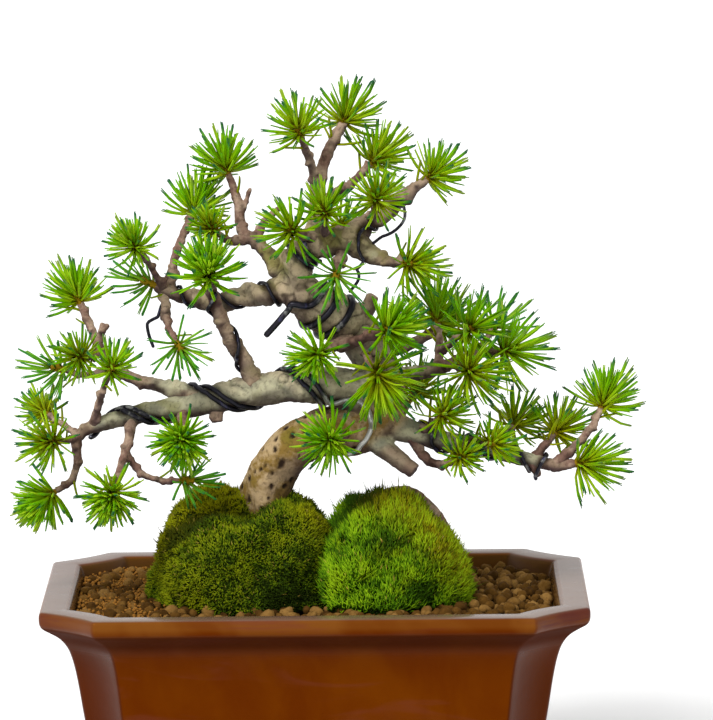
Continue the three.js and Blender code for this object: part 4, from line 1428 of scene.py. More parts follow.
        # Painted shade: blades in the creases and in the shaded spots are darker
        shade = 0.58 + 0.45 * clump + random.uniform(-0.25, 0.25, count) - 0.4 * crease_shade
        shade = np.clip(shade - self._near(root, self.shaded_spots), 0, 1)
        ripe = np.clip(self._near(root, self.ripe_spots) + random.uniform(-0.25, 0.1, count), 0, 1)
        length = self.blade_length * random.uniform(0.6, 1.2, count) * (1 + 0.22 * clump)
        width = self.blade_width * random.uniform(0.7, 1.2, count)
        strand = random.random(count) < self.strand_share
        length[strand] *= self.strand_length
        width[strand] *= self.strand_width
        shade[strand] = 0
        dry = (random.random(count) < self.dry_share) & ~strand
        side = unit(np.cross(lift, random.normal(0, 1, (count, 3))))
        other = np.cross(lift, side)
        corners = [root + (side * math.cos(turn) + other * math.sin(turn)) * width[:, None]
                   for turn in (0, TURN / 3, 2 * TURN / 3)]
        droop = unit(random.normal(0, 1, (count, 3))) * (self.blade_droop * length)[:, None]
        tip = root + lift * length[:, None] + droop
        points = np.stack([*corners, tip], axis=1).reshape(-1, 3)
        base = 4 * np.arange(count)[:, None, None]
        pattern = np.array([[0, 2, 1], [0, 1, 3], [1, 2, 3], [2, 0, 3]])
        form.add(points, (base + pattern).reshape(-1, 3), along=np.tile([0.3, 0.3, 0.3, 1.0], count),
                 shade=np.repeat(shade, 4), dry=np.repeat(dry.astype(float), 4),
                 ripe=np.repeat(ripe, 4))

    def build(self, clear: "list[MossMound]", trunk: Array) -> Object:
        """The mound's mesh.

        Args:
            clear: Mounds that this one leans under, where it has no blades.
            trunk: Middle points of the trunk with their radius, where no blade grows.

        Returns:
            The piece.
        """
        random = np.random.default_rng(self.seed)
        root, out = self._roots(random)
        hidden = root[:, 2] < self.foot - 0.5
        for mound in clear:
            hidden |= mound.inside(root, 3)
        for x, y, z, radius in trunk:
            hidden |= np.linalg.norm(root - (x, y, z), axis=1) < radius
        form = Form()
        core, faces = self._core()
        # The cushion carries the painted shade between the blades
        form.add(core, faces, along=0.22, shade=0.35, dry=0.0, ripe=0.0)
        self._add_blades(form, root[~hidden], out[~hidden], random)
        return form.to_object(self.name)

    def dress(self, moss: Object, node: str) -> None:
        """Gives the mound its greens."""
        slot = "moss_dark" if node == "moss_left" else "moss_bright"
        hand_over(moss, self.finish.material(), slot, node)


def ball(level: int) -> tuple[Array, Array]:
    """A small even ball.

    Args:
        level: How often its faces are split.

    Returns:
        Its points and faces.
    """
    mesh = bmesh.new()
    bmesh.ops.create_icosphere(mesh, subdivisions=level, radius=1)
    points = np.array([v.co for v in mesh.verts])
    faces = np.array([[v.index for v in f.verts] for f in mesh.faces])
    mesh.free()
    return points, faces


@dataclass
class Soil:
    """The soil: a bumpy filling under loose fired pellets, with finer crumbs at the left."""

    pot: Pot
    top: float = 72.2
    gap: float = 0.35
    pellet: Pair = (3.4, 6.2)
    crumb: Pair = (0.9, 2.0)
    pellet_count: int = 1150
    crumb_count: int = 1500
    # The filling: its levels below the top, the top's drop, and how far in the top's rings are
    levels: tuple[float, ...] = (14.4, 30, 50, 62)
    drop: float = 1.2
    insets: tuple[float, ...] = (14, 30, 46, 60)
    # How much a pellet is pressed out of round and how rough it is
    pressed: Pair = (0.72, 1.12)
    rough: float = 0.26
    # Crumbs lie left of this place
    crumbs_end: float = -62
    # Pellets may overlap until they are this share of their radii apart
    closeness: float = 0.78
    seed: int = 11

    def _inset(self, z: float) -> float:
        """How far the pot's inner wall stands in from the rim's outline.

        Args:
            z: At which height.

        Returns:
            The distance, in millimetres.
        """
        heights = [h for _, h in self.pot.inside][::-1]
        insets = [i for i, _ in self.pot.inside][::-1]
        return float(np.interp(z, heights, insets))

    def _filling(self) -> Solid:
        """The body of the soil, inside the pot's walls.

        Returns:
            Its points and faces.
        """
        levels = (*self.levels, self.top - self.drop)
        rings = [at_height(self.pot.outline(self._inset(z) + self.gap), z) for z in levels]
        edge = rings[-1]
        half = self.pot.depth / 2 - (self._inset(levels[-1]) + self.gap)
        for inset in self.insets:
            share = 1 - inset / half
            rings.append(edge * (share, share, 1))
        return np.vstack(rings), closed_faces(len(rings), len(rings[0]))

    def _within(self, spot: Array, margin: float) -> bool:
        """Whether a spot lies inside the pot's inner wall.

        Args:
            spot: Its x and y.
            margin: How far inside it has to be.

        Returns:
            True or False.
        """
        inset = self._inset(self.top) + margin
        x, y = self.pot.width / 2 - inset, self.pot.depth / 2 - inset
        cut = self.pot.corner - self.pot.corner_kept * inset
        ax, ay = abs(spot[0]), abs(spot[1])
        return ax < x and ay < y and ax + ay < x + y - cut - margin

    def _scatter(self, random: Random, count: int, sizes: Pair,
                 mounds: list[MossMound], limit: float | None) -> list[tuple[Array, float]]:
        """Spots for pellets that hardly overlap.

        Args:
            random: The random numbers.
            count: The most that are placed.
            sizes: The smallest and largest width.
            mounds: The moss, which they stay out from under.
            limit: If given, only spots left of this x are kept, thinning out towards it.

        Returns:
            The middle and radius of each.
        """
        found: list[tuple[Array, float]] = []
        grid: dict[tuple[int, int], list[int]] = {}
        cell = sizes[1]
        for _ in range(count * 14):
            if len(found) >= count:
                break
            spot = np.array([random.uniform(-0.5, 0.5) * self.pot.width,
                             random.uniform(-0.5, 0.5) * self.pot.depth])
            radius = random.uniform(*sizes) / 2
            if not self._within(spot, radius * 0.8):
                continue
            if limit is not None and spot[0] > limit + 14 * random.uniform(-1, 1):
                continue
            if any(self._under(mound, spot) for mound in mounds):
                continue
            home = (int(spot[0] // cell), int(spot[1] // cell))
            near = [found[i] for dx in (-1, 0, 1) for dy in (-1, 0, 1)
                    for i in grid.get((home[0] + dx, home[1] + dy), [])]
            if any(np.hypot(*(spot - s)) < self.closeness * (radius + r) for s, r in near):
                continue
            grid.setdefault(home, []).append(len(found))
            found.append((spot, radius))
        return found

    @staticmethod
    def _under(mound: MossMound, spot: Array) -> bool:
        """Whether a spot is well under a mound."""
        reach = [(spot[k] - mound.centre[k]) / (mound.half[k] - 4) for k in (0, 1)]
        return math.hypot(*reach) < 1

    def build(self, mounds: list[MossMound]) -> Object:
        """The soil's mesh.

        Args:
            mounds: The moss, which no pellet lies under.

        Returns:
            The piece.
        """
        random = np.random.default_rng(self.seed)
        form = Form()
        points, faces = self._filling()
        form.add(points, faces, shade=0.1, crumb=0)
        # For each layer: count, sizes, fineness, the place that it ends at, height and how pale it is
        layers = (
            (self.pellet_count, self.pellet, 2, None, -0.5, 0.0),
            (self.pellet_count // 3, self.pellet, 2, None, 1.6, 0.0),
            (self.crumb_count, self.crumb, 1, self.crumbs_end, 1.4, 1.0),
            (self.crumb_count // 3, self.crumb, 1, None, 0.7, 0.25),
        )
        for count, sizes, level, limit, height, crumb in layers:
            points, faces = ball(level)
            for spot, radius in self._scatter(random, count, sizes, mounds, limit):
                shape = points * random.uniform(*self.pressed, 3)
                rough = self.rough * lumps(shape + random.uniform(0, 90, 3), 0.9, 3, 2)
                shape = shape * (1 + rough)[:, None]
                angle = random.uniform(0, TURN)
                turn = np.array(Matrix.Rotation(angle, 3, Vector(random.normal(0, 1, 3))))
                z = self.top + height + random.uniform(-0.6, 0.8) - 0.25 * radius
                shade = random.uniform(0.1, 1)
                form.add(radius * shape @ turn.T + (*spot, z), faces, shade=shade, crumb=crumb)
        return form.to_object("soil_pellets")

    def dress(self, soil: Object) -> None:
        """Gives the soil its browns."""
        hand_over(soil, GritFinish().material(), "grit", "soil")


# The tree


@dataclass
class Limb:
    """One limb of the tree, from its middle line and its radius along it."""

    name: str
    kind: LimbKind
    knots: Array
    widths: Array
    # A limb that starts slimmer than this has knobs
    slim: float = 3.6
    knob_pitch: float = 2.7
    knob_turn: float = 2.4
    knob_height: Pair = (0.5, 1.6)
    knob_size: float = 0.95
    # The flare at a branch's root, and how far it reaches, both as shares of the radius
    flare: float = 0.32
    flare_reach: float = 2.2
    # How far the swellings of a root and of other limbs stand out, as a share of the radius
    root_swell: float = 0.13
    limb_swell: float = 0.055

    @classmethod
    def tapered(cls, name: str, kind: LimbKind, spec: tuple) -> "Limb":
        """A limb whose radius shrinks evenly from its root to its tip."""
        root, tip, points = spec
        return cls(name, kind, np.array(points, float), np.linspace(root, tip, len(points)))

    def line(self, step: float) -> tuple[Array, Array]:
        """The middle line with points about a step apart, and the radius at each."""
        return even_line(self.knots, self.widths, step)

    def tube(self, sides: int, step: float, seed: int) -> Solid:
        """The limb as a tube with a flared root and gentle swellings.

        Args:
            sides: How many sides each ring has.
            step: The distance between two rings.
            seed: Which of the random patterns to take.

        Returns:
            Its points and faces.
        """
        path, radii = self.line(step)
        lengths = arc_lengths(path)
        flare = 0 if self.kind is LimbKind.TRUNK else self.flare
        radii = radii * (1 + flare * np.exp(-(lengths / (self.flare_reach * radii[0])) ** 2))
        angles = TURN * np.arange(sides) / sides
        row = np.arange(len(path))[:, None] * step
        depth = self.root_swell if self.kind is LimbKind.ROOT else self.limb_swell
        wave = np.sin(3 * angles + 0.2 * row + seed) + 0.6 * np.sin(2 * angles - 0.13 * row + seed)
        swell = 1 + depth * wave
        if self.widths[0] < self.slim:
            swell = swell + self._knobs(lengths, angles, radii, seed)
        return tube(path, radii, sides, swell)

    def _knobs(self, lengths: Array, angles: Array, radii: Array, seed: int) -> Array:
        """The knobs that fallen needles leave, winding round a slim limb.

        Args:
            lengths: How far along the limb each ring is.
            angles: Where each side stands.
            radii: The radius of each ring.
            seed: Which of the random patterns to take.

        Returns:
            How much further out each ring and side is, as a share of its radius.
        """
        random = np.random.default_rng(100 + seed)
        total = np.zeros((len(lengths), len(angles)))
        turn = random.uniform(0, TURN)
        for place in np.arange(self.knob_pitch, lengths[-1] - 0.5, self.knob_pitch):
            place += random.uniform(-0.8, 0.8)
            turn += self.knob_turn + random.uniform(-0.4, 0.4)
            height = random.uniform(*self.knob_height)
            radius = np.interp(place, lengths, radii)
            beside = ((angles - turn) % TURN + math.pi) % TURN - math.pi
            away = ((lengths[:, None] - place) / self.knob_size) ** 2
            away = away + (beside * radius / self.knob_size) ** 2
            total += height * np.exp(-away) / radii[:, None]
        return total


@dataclass
class Wood:
    """The trunk, branches, twigs and stubs, grown together and covered in bark."""

    # The size of the skin's faces, and how many times it is smoothed
    stout_skin: tuple[float, int] = (0.64, 4)
    fine_skin: tuple[float, int] = (0.54, 2)
    trunk_sides: int = 36
    branch_sides: int = 20
    twig_sides: int = 16
    ring_step: float = 0.7
    # How far the bark of one limb runs out into the next
    blend: float = 2.2
    # How a point's nearest limb is looked for: steps along it, reach from it, points at once
    probe_step: float = 1.5
    probe_reach: float = 6
    probe_batch: int = 20000
    # Wood as thick as this has the full relief, and wood slimmer than the second has warts
    stout_radius: float = 9
    wart_radius: float = 3.4
    # Heights between which the trunk's low cracks end, and the upper wood's look and furrows begin
    cracks_end: Pair = (122, 98)
    upper_from: Pair = (140, 168)
    furrows_from: Pair = (142, 160)
    pit_count: int = 105
    pit_tries: int = 2000
    pit_foot: float = 92
    pit_top: float = 141
    seed: int = 3

    def limbs(self) -> dict[str, Limb]:
        """Every limb by its name.

        Returns:
            The limbs, the trunk first.
        """
        trunk = np.array(TRUNK, float)
        made = {"trunk": Limb("trunk", LimbKind.TRUNK, trunk[:, :3], trunk[:, 3])}
        tables = {LimbKind.BRANCH: BRANCHES, LimbKind.TWIG: TWIGS, LimbKind.STUB: STUBS}
        for kind, table in tables.items():
            for name, spec in table.items():
                kind_here = LimbKind.ROOT if name == "surface_root" else kind
                made[name] = Limb.tapered(name, kind_here, spec)
        return made

    def _grow(self, name: str, limbs: list[Limb], voxel: float, smoothing: int) -> Object:
        """Limbs grown into one smooth skin.

        Args:
            name: The name of the piece.
            limbs: The limbs.
            voxel: The size of the skin's faces.
            smoothing: How many times it is smoothed.

        Returns:
            The piece.
        """
        form = Form()
        sides = {LimbKind.TRUNK: self.trunk_sides, LimbKind.TWIG: self.twig_sides}
        for seed, limb in enumerate(limbs):
            form.add(*limb.tube(sides.get(limb.kind, self.branch_sides), self.ring_step, seed))
        piece = form.to_object(name)
        remesh = piece.modifiers.new("skin", "REMESH")
        remesh.mode = "VOXEL"
        remesh.voxel_size = voxel * MM
        smooth = piece.modifiers.new("smooth", "SMOOTH")
        smooth.factor = 0.5
        smooth.iterations = smoothing
        settle(piece)
        return piece

    def _nearest(self, points: Array, limbs: list[Limb]) -> dict[str, Array]:
        """For each point: how old the wood is there, and the place on the nearest limb.

        Args:
            points: The places.
            limbs: The limbs.

        Returns:
            Arrays named age and trunk, which run smoothly from limb to limb, and radius and along.
        """
        count = len(points)
        best = np.full(count, 1e9)
        weight = np.full(count, 1e-9)
        found = {name: np.zeros(count) for name in ("age", "radius", "along", "trunk")}
        for limb in limbs:
            path, radii = limb.line(self.probe_step)
            lengths = arc_lengths(path)
            reach = radii.max() + self.probe_reach
            near = np.flatnonzero(((points > path.min(axis=0) - reach)
                                   & (points < path.max(axis=0) + reach)).all(axis=1))
            for part in np.array_split(near, max(1, len(near) // self.probe_batch)):
                away = np.linalg.norm(points[part][:, None] - path, axis=2) - radii
                k = away.argmin(axis=1)
                closest = away[np.arange(len(part)), k]
                better = closest < best[part]
                share = np.exp(-np.maximum(closest, 0) / self.blend)
                weight[part] += share
                found["age"][part] += share * limb.kind.value
                found["trunk"][part] += share * (limb.kind is LimbKind.TRUNK)
                rows, k = part[better], k[better]
                best[rows] = closest[better]
                found["radius"][rows] = radii[k]
                found["along"][rows] = lengths[k]
        found["age"] /= weight
        found["trunk"] /= weight
        return found

    def _pits(self, limb: Limb) -> list[tuple[Array, float]]:
        """Chooses places for the trunk's old scars.

        Args:
            limb: The trunk.

        Returns:
            Where each is, and how large.
        """
        random = np.random.default_rng(self.seed)
        path, radii = limb.line(1.0)
        _, across, side = frames_along(path)
        rows = np.flatnonzero((path[:, 2] > self.pit_foot) & (path[:, 2] < self.pit_top))
        found: list[tuple[Array, float]] = []
        for _ in range(self.pit_tries):
            if len(found) >= self.pit_count:
                break
            k = int(random.choice(rows))
            angle = random.uniform(0, TURN)
            out = across[k] * math.cos(angle) + side[k] * math.sin(angle)
            spot = path[k] + radii[k] * out
            size = random.uniform(0.6, 1.5) * random.uniform(0.8, 1.2)
            if all(np.linalg.norm(spot - s) > 1.35 * (size + other) for s, other in found):
                found.append((spot, size))
        return found

    def _swellings(self, points: Array, near: dict[str, Array], warts: Array) -> Array:
        """The lumps, grain, warts and wrinkles of the bark, and its swellings between wires.

        Args:
            points: The places.
            near: What is known of the wood at each.
            warts: Where warts are, above 0, and the pits between them, below.

        Returns:
            How far each place stands out, in millimetres.
        """
        thick = np.clip(near["radius"] / self.stout_radius, 0.1, 1)
        lift = 0.4 * thick * lumps(points, 5, BarkPattern.LUMPS, 2)
        lift += 0.14 * near["slim"] * lumps(points, 1.5, BarkPattern.GRAIN, 2)
        lift += 0.5 * smoothstep(warts, 0.3, 0.8)
        unrest = 2.5 * lumps(points, 3, BarkPattern.WRINKLES, 1)
        lift += 0.06 * near["slim"] * np.sin(near["along"] * (TURN / 2.4) + unrest)
        bulge = smoothstep(near["wire"], 1.8, 3.6) * smoothstep(near["wire"], 9, 5)
        lift += (0.45 + 1.7 * near["upper"]) * thick ** 0.5 * bulge
        return lift

    def _cracks(self, points: Array, near: dict[str, Array]) -> tuple[Array, Array]:
        """The cracks of the low trunk, and the cracks and furrows of the upper wood.

        Args:
            points: The places.
            near: What is known of the wood at each.

        Returns:
            How deep each place is cut, in millimetres, and how dark it is.
        """
        low = smoothstep(points[:, 2], *self.cracks_end) * near["trunk"]
        crack = np.abs(lumps(points * (1, 1, 0.55), 4.2, BarkPattern.CRACKS, 1))
        crack = 1 - smoothstep(crack, 0, 0.14)
        high = smoothstep(points[:, 2], *self.furrows_from) * smoothstep(near["radius"], 2.6, 4.2)
        high = high * (1 - smoothstep(low, 0, 0.3))
        furrow = 1 - smoothstep(np.abs(lumps(points, 7, BarkPattern.FURROWS, 2)), 0, 0.13)
        furrow *= smoothstep(lumps(points, 12, BarkPattern.FURROWED, 1), -0.45, 0.1)
        depth = 0.8 * low * crack + (0.25 * crack + 0.7 * furrow) * high
        return depth, 0.8 * crack * low + (0.25 * crack + 0.6 * furrow) * high

    def _dig_pits(self, points: Array, trunk: Limb, lift: Array, scar_and_shade: Array) -> None:
        """Digs the trunk's old scars, each a dark hole with a raised rim.

        Args:
            points: The places.
            trunk: The trunk.
            lift: How far each place stands out, which this changes.
            scar_and_shade: How dark each place is, which this changes.
        """
        ragged = 1 + 0.4 * lumps(points, 1.4, BarkPattern.PITS, 2)
        for spot, size in self._pits(trunk):
            away = np.linalg.norm((points - spot) * (1, 1, 0.66), axis=1) * ragged
            hole = 1 - smoothstep(away, 0.55 * size, 1.15 * size)
            rim = smoothstep(away, 0.9 * size, 1.3 * size) - smoothstep(away, 1.3 * size, 2 * size)
            lift += 0.2 * rim - 0.45 * hole
            np.maximum(scar_and_shade, hole, out=scar_and_shade)

    def _bark(self, piece: Object, limbs: list[Limb], wires: KDTree) -> None:
        """Works the bark's relief into the mesh and marks its age, its scars with painted shade beside
        the wires, and its undersides for painted shade.

        Args:
            piece: The skin.
            limbs: What it was grown from, the trunk first if it is there.
            wires: The wires' middle lines, between which the wood swells.
        """
        points, normals = places_of(piece), rows_of(piece, "normal")
        near = self._nearest(points, limbs)
        near["slim"] = 1 - near["trunk"]
        near["wire"] = np.array([wires.find(p)[2] for p in points])
        near["upper"] = smoothstep(points[:, 2], *self.upper_from)
        warts = near["slim"] * (near["radius"] < self.wart_radius)
        warts = warts * lumps(points, 2.4, BarkPattern.WARTS, 1)
        lift = self._swellings(points, near, warts)
        depth, scar_and_shade = self._cracks(points, near)
        lift -= depth
        # Painted shade, with dirt, in the creases beside the wires
        scar_and_shade = np.maximum(scar_and_shade, 0.8 * smoothstep(near["wire"], 3.3, 1.6))
        scar_and_shade = np.maximum(scar_and_shade, 0.5 * smoothstep(-warts, 0.25, 0.7))
        if limbs[0].kind is LimbKind.TRUNK:
            self._dig_pits(points, limbs[0], lift, scar_and_shade)
        # The undersides' painted shade: more on slim wood, with lumps
        below = 0.14 * near["slim"] * smoothstep(near["radius"], self.wart_radius, 2)
        below = below + 0.18 * lumps(points, 4, BarkPattern.UNDERSIDE, 2)
        age = near["age"] - 0.34 * near["upper"] * near["trunk"]
        age -= 0.5 * smoothstep(near["radius"], 2.7, 1.6) * near["slim"]
        marks = {
            "age": age,
            "scar_and_shade": scar_and_shade,
            "under": smoothstep(below - normals[:, 2], -0.2, 0.65),
            "proud": smoothstep(lift, 0.3, 1.7) * near["upper"],
        }
        places = (points + normals * lift[:, None] + SHIFT) * MM
        piece.data.vertices.foreach_set("co", places.ravel())
        add_marks(piece.data, {name: np.clip(values, 0, 1) for name, values in marks.items()})
        piece.data.shade_smooth()
        piece.data.update()

    def build(self, limbs: dict[str, Limb], wire_lines: list[Array]) -> list[Object]:
        """The stout wood and the fine wood, as two pieces.

        Args:
            limbs: Every limb by its name.
            wire_lines: The wires' middle lines.

        Returns:
            The two pieces.
        """
        spots = np.vstack(wire_lines)
        wires = KDTree(len(spots))
        for k, spot in enumerate(spots):
            wires.insert(spot, k)
        wires.balance()
        stout = [limbs[name] for name in ("trunk", *STOUT)]
        fine = [limb for limb in limbs.values() if limb not in stout]
        plan = (("stout_wood", stout, self.stout_skin), ("fine_wood", fine, self.fine_skin))
        pieces = []
        for name, group, skin in plan:
            piece = self._grow(name, group, *skin)
            self._bark(piece, group, wires)
            pieces.append(piece)
        return pieces

    def dress(self, pieces: list[Object]) -> None:
        """Gives the wood its bark.

        Args:
            pieces: The wood.
        """
        bark = BarkFinish().material()
        for piece in pieces:
            hand_over(piece, bark, "bark", "tree_wood")


@dataclass
class Wires:
    """The training wires, round and smooth along the CAD wires' middle lines."""

    sides: int = 10
    step: float = 0.8
    extra: float = -0.03
    clearance: float = 0.06
    # Wire further than this from the bark is a free end or a loop and stays as it is
    reach: float = 5
    corners: int = 4
    # A corner along the wire has this many edges, and one of an end has fewer
    inner_edges: int = 6
    # In the order in which they were wound
    nodes: tuple[str, ...] = (
        "wire_trunk_thick", "wire_trunk_second", "wire_branch_first", "wire_branch_second",
        "wire_upper_left", "wire_rising_twig", "wire_crown", "wire_low_right",
    )
    radii: dict[str, float] = field(default_factory=dict)

    def _middle_line(self, node: str) -> tuple[Array, float]:
        """A CAD wire's middle line, read ring by ring from one end.

        Args:
            node: The wire's name.

        Returns:
            The line's points and the wire's radius.
        """
        mesh = corners_of(node)
        ends = [v for v in mesh.verts if len(v.link_edges) < self.inner_edges]
        start = min(ends, key=lambda v: v.index)
        ring = sorted(ends, key=lambda v: (v.co - start.co).length)[: self.corners]
        seen, rings = set(ring), [ring]
        while ring:
            ring = list(dict.fromkeys(e.other_vert(v) for v in ring for e in v.link_edges
                                      if e.other_vert(v) not in seen))
            seen.update(ring)
            if ring:
                rings.append(ring)
        centres = [np.mean([v.co for v in ring], axis=0) for ring in rings]
        reach = [np.linalg.norm(np.array(v.co) - c) for r, c in zip(rings, centres) for v in r]
        mesh.free()
        return np.array(centres) / MM - SHIFT, float(np.median(reach)) / MM

    def lines(self) -> list[Array]:
        """Reads every CAD wire and keeps its radius.

        Returns:
            The smooth middle line of each.
        """
        found = []
        for node in self.nodes:
            centres, radius = self._middle_line(node)
            self.radii[node] = radius + self.extra
            found.append(even_line(centres, np.full(len(centres), radius), self.step)[0])
        return found

    def _tighten(self, path: Array, radius: float, wood: BVHTree,
                 wound: list[tuple[Array, float]]) -> Array:
        """A wire's line drawn in until it lies on the bark and on the wires under it.

        Args:
            path: The line.
            radius: The wire's radius.
            wood: The bark's surface.
            wound: The lines and radii of the wires that are on the tree already.

        Returns:
            The tight line.
        """
        path = path.copy()
        rest = radius + self.clearance
        for last in (False, False, False, True):
            for k, place in enumerate(path):
                on, normal, _, _ = wood.find_nearest(place)
                away = place - np.array(on)
                height = float(away @ np.array(normal))
                if height > self.reach or (last and height > rest - 0.1):
                    continue
                share = 1 - float(smoothstep(np.array(height), self.reach / 2, self.reach))
                path[k] += np.array(normal) * (rest - height) * share
            for line, other in wound:
                gaps = np.linalg.norm(path[:, None] - line, axis=2)
                near = gaps.argmin(axis=1)
                gap = gaps[np.arange(len(path)), near]
                lack = np.maximum(radius + other + self.clearance - gap, 0)
                path += unit(path - line[near]) * lack[:, None]
            if not last:
                path[1:-1] = (path[:-2] + 2 * path[1:-1] + path[2:]) / 4
        return path

    def build(self, lines: list[Array], wood: list[Object]) -> list[Object]:
        """A piece for each wire.

        Args:
            lines: Their middle lines.
            wood: The pieces that they are wound on.

        Returns:
            The pieces.
        """
        points, faces = [], []
        for piece in wood:
            first = sum(map(len, points))
            points.append(places_of(piece))
            faces += [tuple(i + first for i in face.vertices) for face in piece.data.polygons]
        bark = BVHTree.FromPolygons(np.vstack(points).tolist(), faces)
        wound: list[tuple[Array, float]] = []
        pieces = []
        for node, line in zip(self.nodes, lines, strict=True):
            radius = self.radii[node]
            path = self._tighten(line, radius, bark, wound)
            wound.append((path, radius))
            radii = np.full(len(path), radius)
            radii[[0, -1]] *= 0.72
            form = Form()
            form.add(*tube(path, radii, self.sides))
            pieces.append(form.to_object("trained_" + node))
        return pieces

    def dress(self, pieces: list[Object]) -> None:
        """Gives the wires their dark metal.

        Args:
            pieces: The wires.
        """
        metal = WireFinish().material()
        for piece in pieces:
            hand_over(piece, metal, "wire", piece.name.removeprefix("trained_"))


@dataclass
class Tufts:
    """The needle tufts: each CAD needle becomes a bundle of five real needles.

    A line is the root, waist and tip of a needle or of a bundle.
    """

    bundle: int = 5
    inner_bundle: int = 2
    # Two needles so far apart, in degrees, may have an inner bundle between them
    inner_angle: Pair = (14, 78)
    inner_reach: Pair = (0.74, 1.0)
    inner_ripeness: float = 0.84
    half_width: float = 0.36
    fan_root: float = 0.3
    fan_tip: float = 0.03
    shortest: float = 0.84
    # How far a bundle bows to a side, and below the line to its tip, as shares of its length
    bow: float = 0.055
    sag: float = 0.06
    old_bundle: int = 3
    old_reach: float = 9
    old_spread: float = 0.95
    old_length: Pair = (0.5, 0.78)
    # Where the waist of a line is, as a share of its length
    waist: float = 0.3
    # Where a needle's rings are, as shares of its length, and how wide it is there
    rings: tuple[float, ...] = (0, 0.35, 0.75, 1)
    ring_widths: tuple[float, ...] = (0.7, 1, 0.95, 0.6)
    shoot_radius: float = 1.6
    shoot_length: float = 7
    shoot_sides: int = 10
    shoot_rings: int = 12
    # A shoot starts this far inside its twig, as a share of its length
    shoot_sunk: float = 0.06
    # How far a needle's middle line stays inside the CAD model's box
    margin: float = 0.5
    # How much the needles of one bundle differ in shade
    mottle: float = 0.16
    seed: int = 29
    random: Random = field(init=False)

    def __post_init__(self) -> None:
        """Opens the stream of random numbers."""
        self.random = np.random.default_rng(self.seed)

    @staticmethod
    def kind_of(name: str) -> TuftKind:
        """How the tuft at the end of a limb has grown."""
        return next((kind for kind, names in GROWN.items() if name in names), TuftKind.FRESH)

    def _needle_lines(self, node: str) -> Array:
        """Reads the needles of a CAD tuft.

        Args:
            node: The tuft's name.

        Returns:
            The lines.
        """
        mesh = corners_of(node)
        lines = []
        for tip in mesh.verts:
            if len(tip.link_edges) != 3:
                continue
            waist = [e.other_vert(tip) for e in tip.link_edges]
            beyond = {e.other_vert(v) for v in waist for e in v.link_edges} - {tip, *waist}
            middles = [np.mean([v.co for v in group], axis=0) for group in (beyond, waist)]
            lines.append([*middles, np.array(tip.co)])
        mesh.free()
        return np.array(lines) / MM - SHIFT

    def _inner_lines(self, lines: Array, kind: TuftKind) -> Array:
        """Lines between neighbouring needles, each where the widest gap is left.

        Args:
            lines: The CAD needles' lines.
            kind: How the tuft has grown.

        Returns:
            The lines.
        """
        ways = unit(lines[:, 2] - lines[:, 0])
        apart = np.degrees(np.arccos(np.clip(ways @ ways.T, -1, 1)))
        pairs = np.argwhere((apart > self.inner_angle[0]) & (apart < self.inner_angle[1]))
        pairs = pairs[pairs[:, 0] < pairs[:, 1]]
        count = min(len(pairs), round(kind.inner_share * len(lines)))
        between = unit(ways[pairs[:, 0]] + ways[pairs[:, 1]])
        closest = (between @ ways.T).max(axis=1)
        chosen = []
        for _ in range(count):
            chosen.append(int(closest.argmin()))
            closest = np.maximum(closest, between @ between[chosen[-1]])
        first, second = (lines[pairs[chosen, k]] for k in (0, 1))
        root = (first[:, 0] + second[:, 0]) / 2
        tip = (first[:, 2] + second[:, 2]) / 2
        reach = np.linalg.norm(first[:, 2] - first[:, 0], axis=1)
        reach = np.minimum(reach, np.linalg.norm(second[:, 2] - second[:, 0], axis=1))
        reach = (reach * self.random.uniform(*self.inner_reach, count))[:, None]
        way = unit(tip - root)
        return np.stack([root + share * reach * way for share in (0, self.waist, 1)], axis=1)

    def _old_lines(self, limb: Limb, lines: Array, count: int) -> Array:
        """Lines of last year's needles, which stand on the twig below the shoot.

        Args:
            limb: The twig.
            lines: The CAD needles' lines.
            count: How many there are.

        Returns:
            The lines.
        """
        path, radii = limb.line(0.5)
        along, across, side = frames_along(path)
        lengths = arc_lengths(path)
        rows = np.flatnonzero(lengths > lengths[-1] - min(self.old_reach, lengths[-1] / 2))
        reach = np.median(np.linalg.norm(lines[:, 2] - lines[:, 0], axis=1))
        found = []
        for _ in range(count):
            k = int(self.random.choice(rows))
            turn = self.random.uniform(0, TURN)
            open_by = self.old_spread * self.random.uniform(0.75, 1.1)
            out = across[k] * math.cos(turn) + side[k] * math.sin(turn)
            way = along[k] * math.cos(open_by) + out * math.sin(open_by)
            root = path[k] + out * radii[k] * 0.7
            length = reach * self.random.uniform(*self.old_length)
            found.append([root + share * length * way for share in (0, self.waist, 1)])
        return np.array(found)

    def _bundles(self, lines: Array, size: int) -> Array:
        """Every real needle, fanned round the line of its bundle.

        Args:
            lines: The bundles' lines.
            size: How many needles a bundle has.

        Returns:
            The lines.
        """
        root, waist, tip = (np.repeat(lines[:, k], size, axis=0) for k in range(3))
        along = unit(tip - waist)
        length = np.linalg.norm(tip - root, axis=1)[:, None]
        side = unit(np.cross(along, (0.31, 0.17, 0.93)))
        other = np.cross(along, side)
        count = len(root)
        turn = np.tile(TURN * np.arange(size) / size, len(lines))
        turn = (turn + self.random.uniform(-0.5, 0.5, count))[:, None]
        out = side * np.cos(turn) + other * np.sin(turn)
        fan = self.fan_tip * length * self.random.uniform(0.35, 1.3, (count, 1))
        share = self.random.uniform(self.shortest, 1.0, (count, 1))
        end = root + (tip - root) * share + out * fan
        return np.stack([root + out * self.fan_root, waist + out * fan * 0.45, end], axis=1)

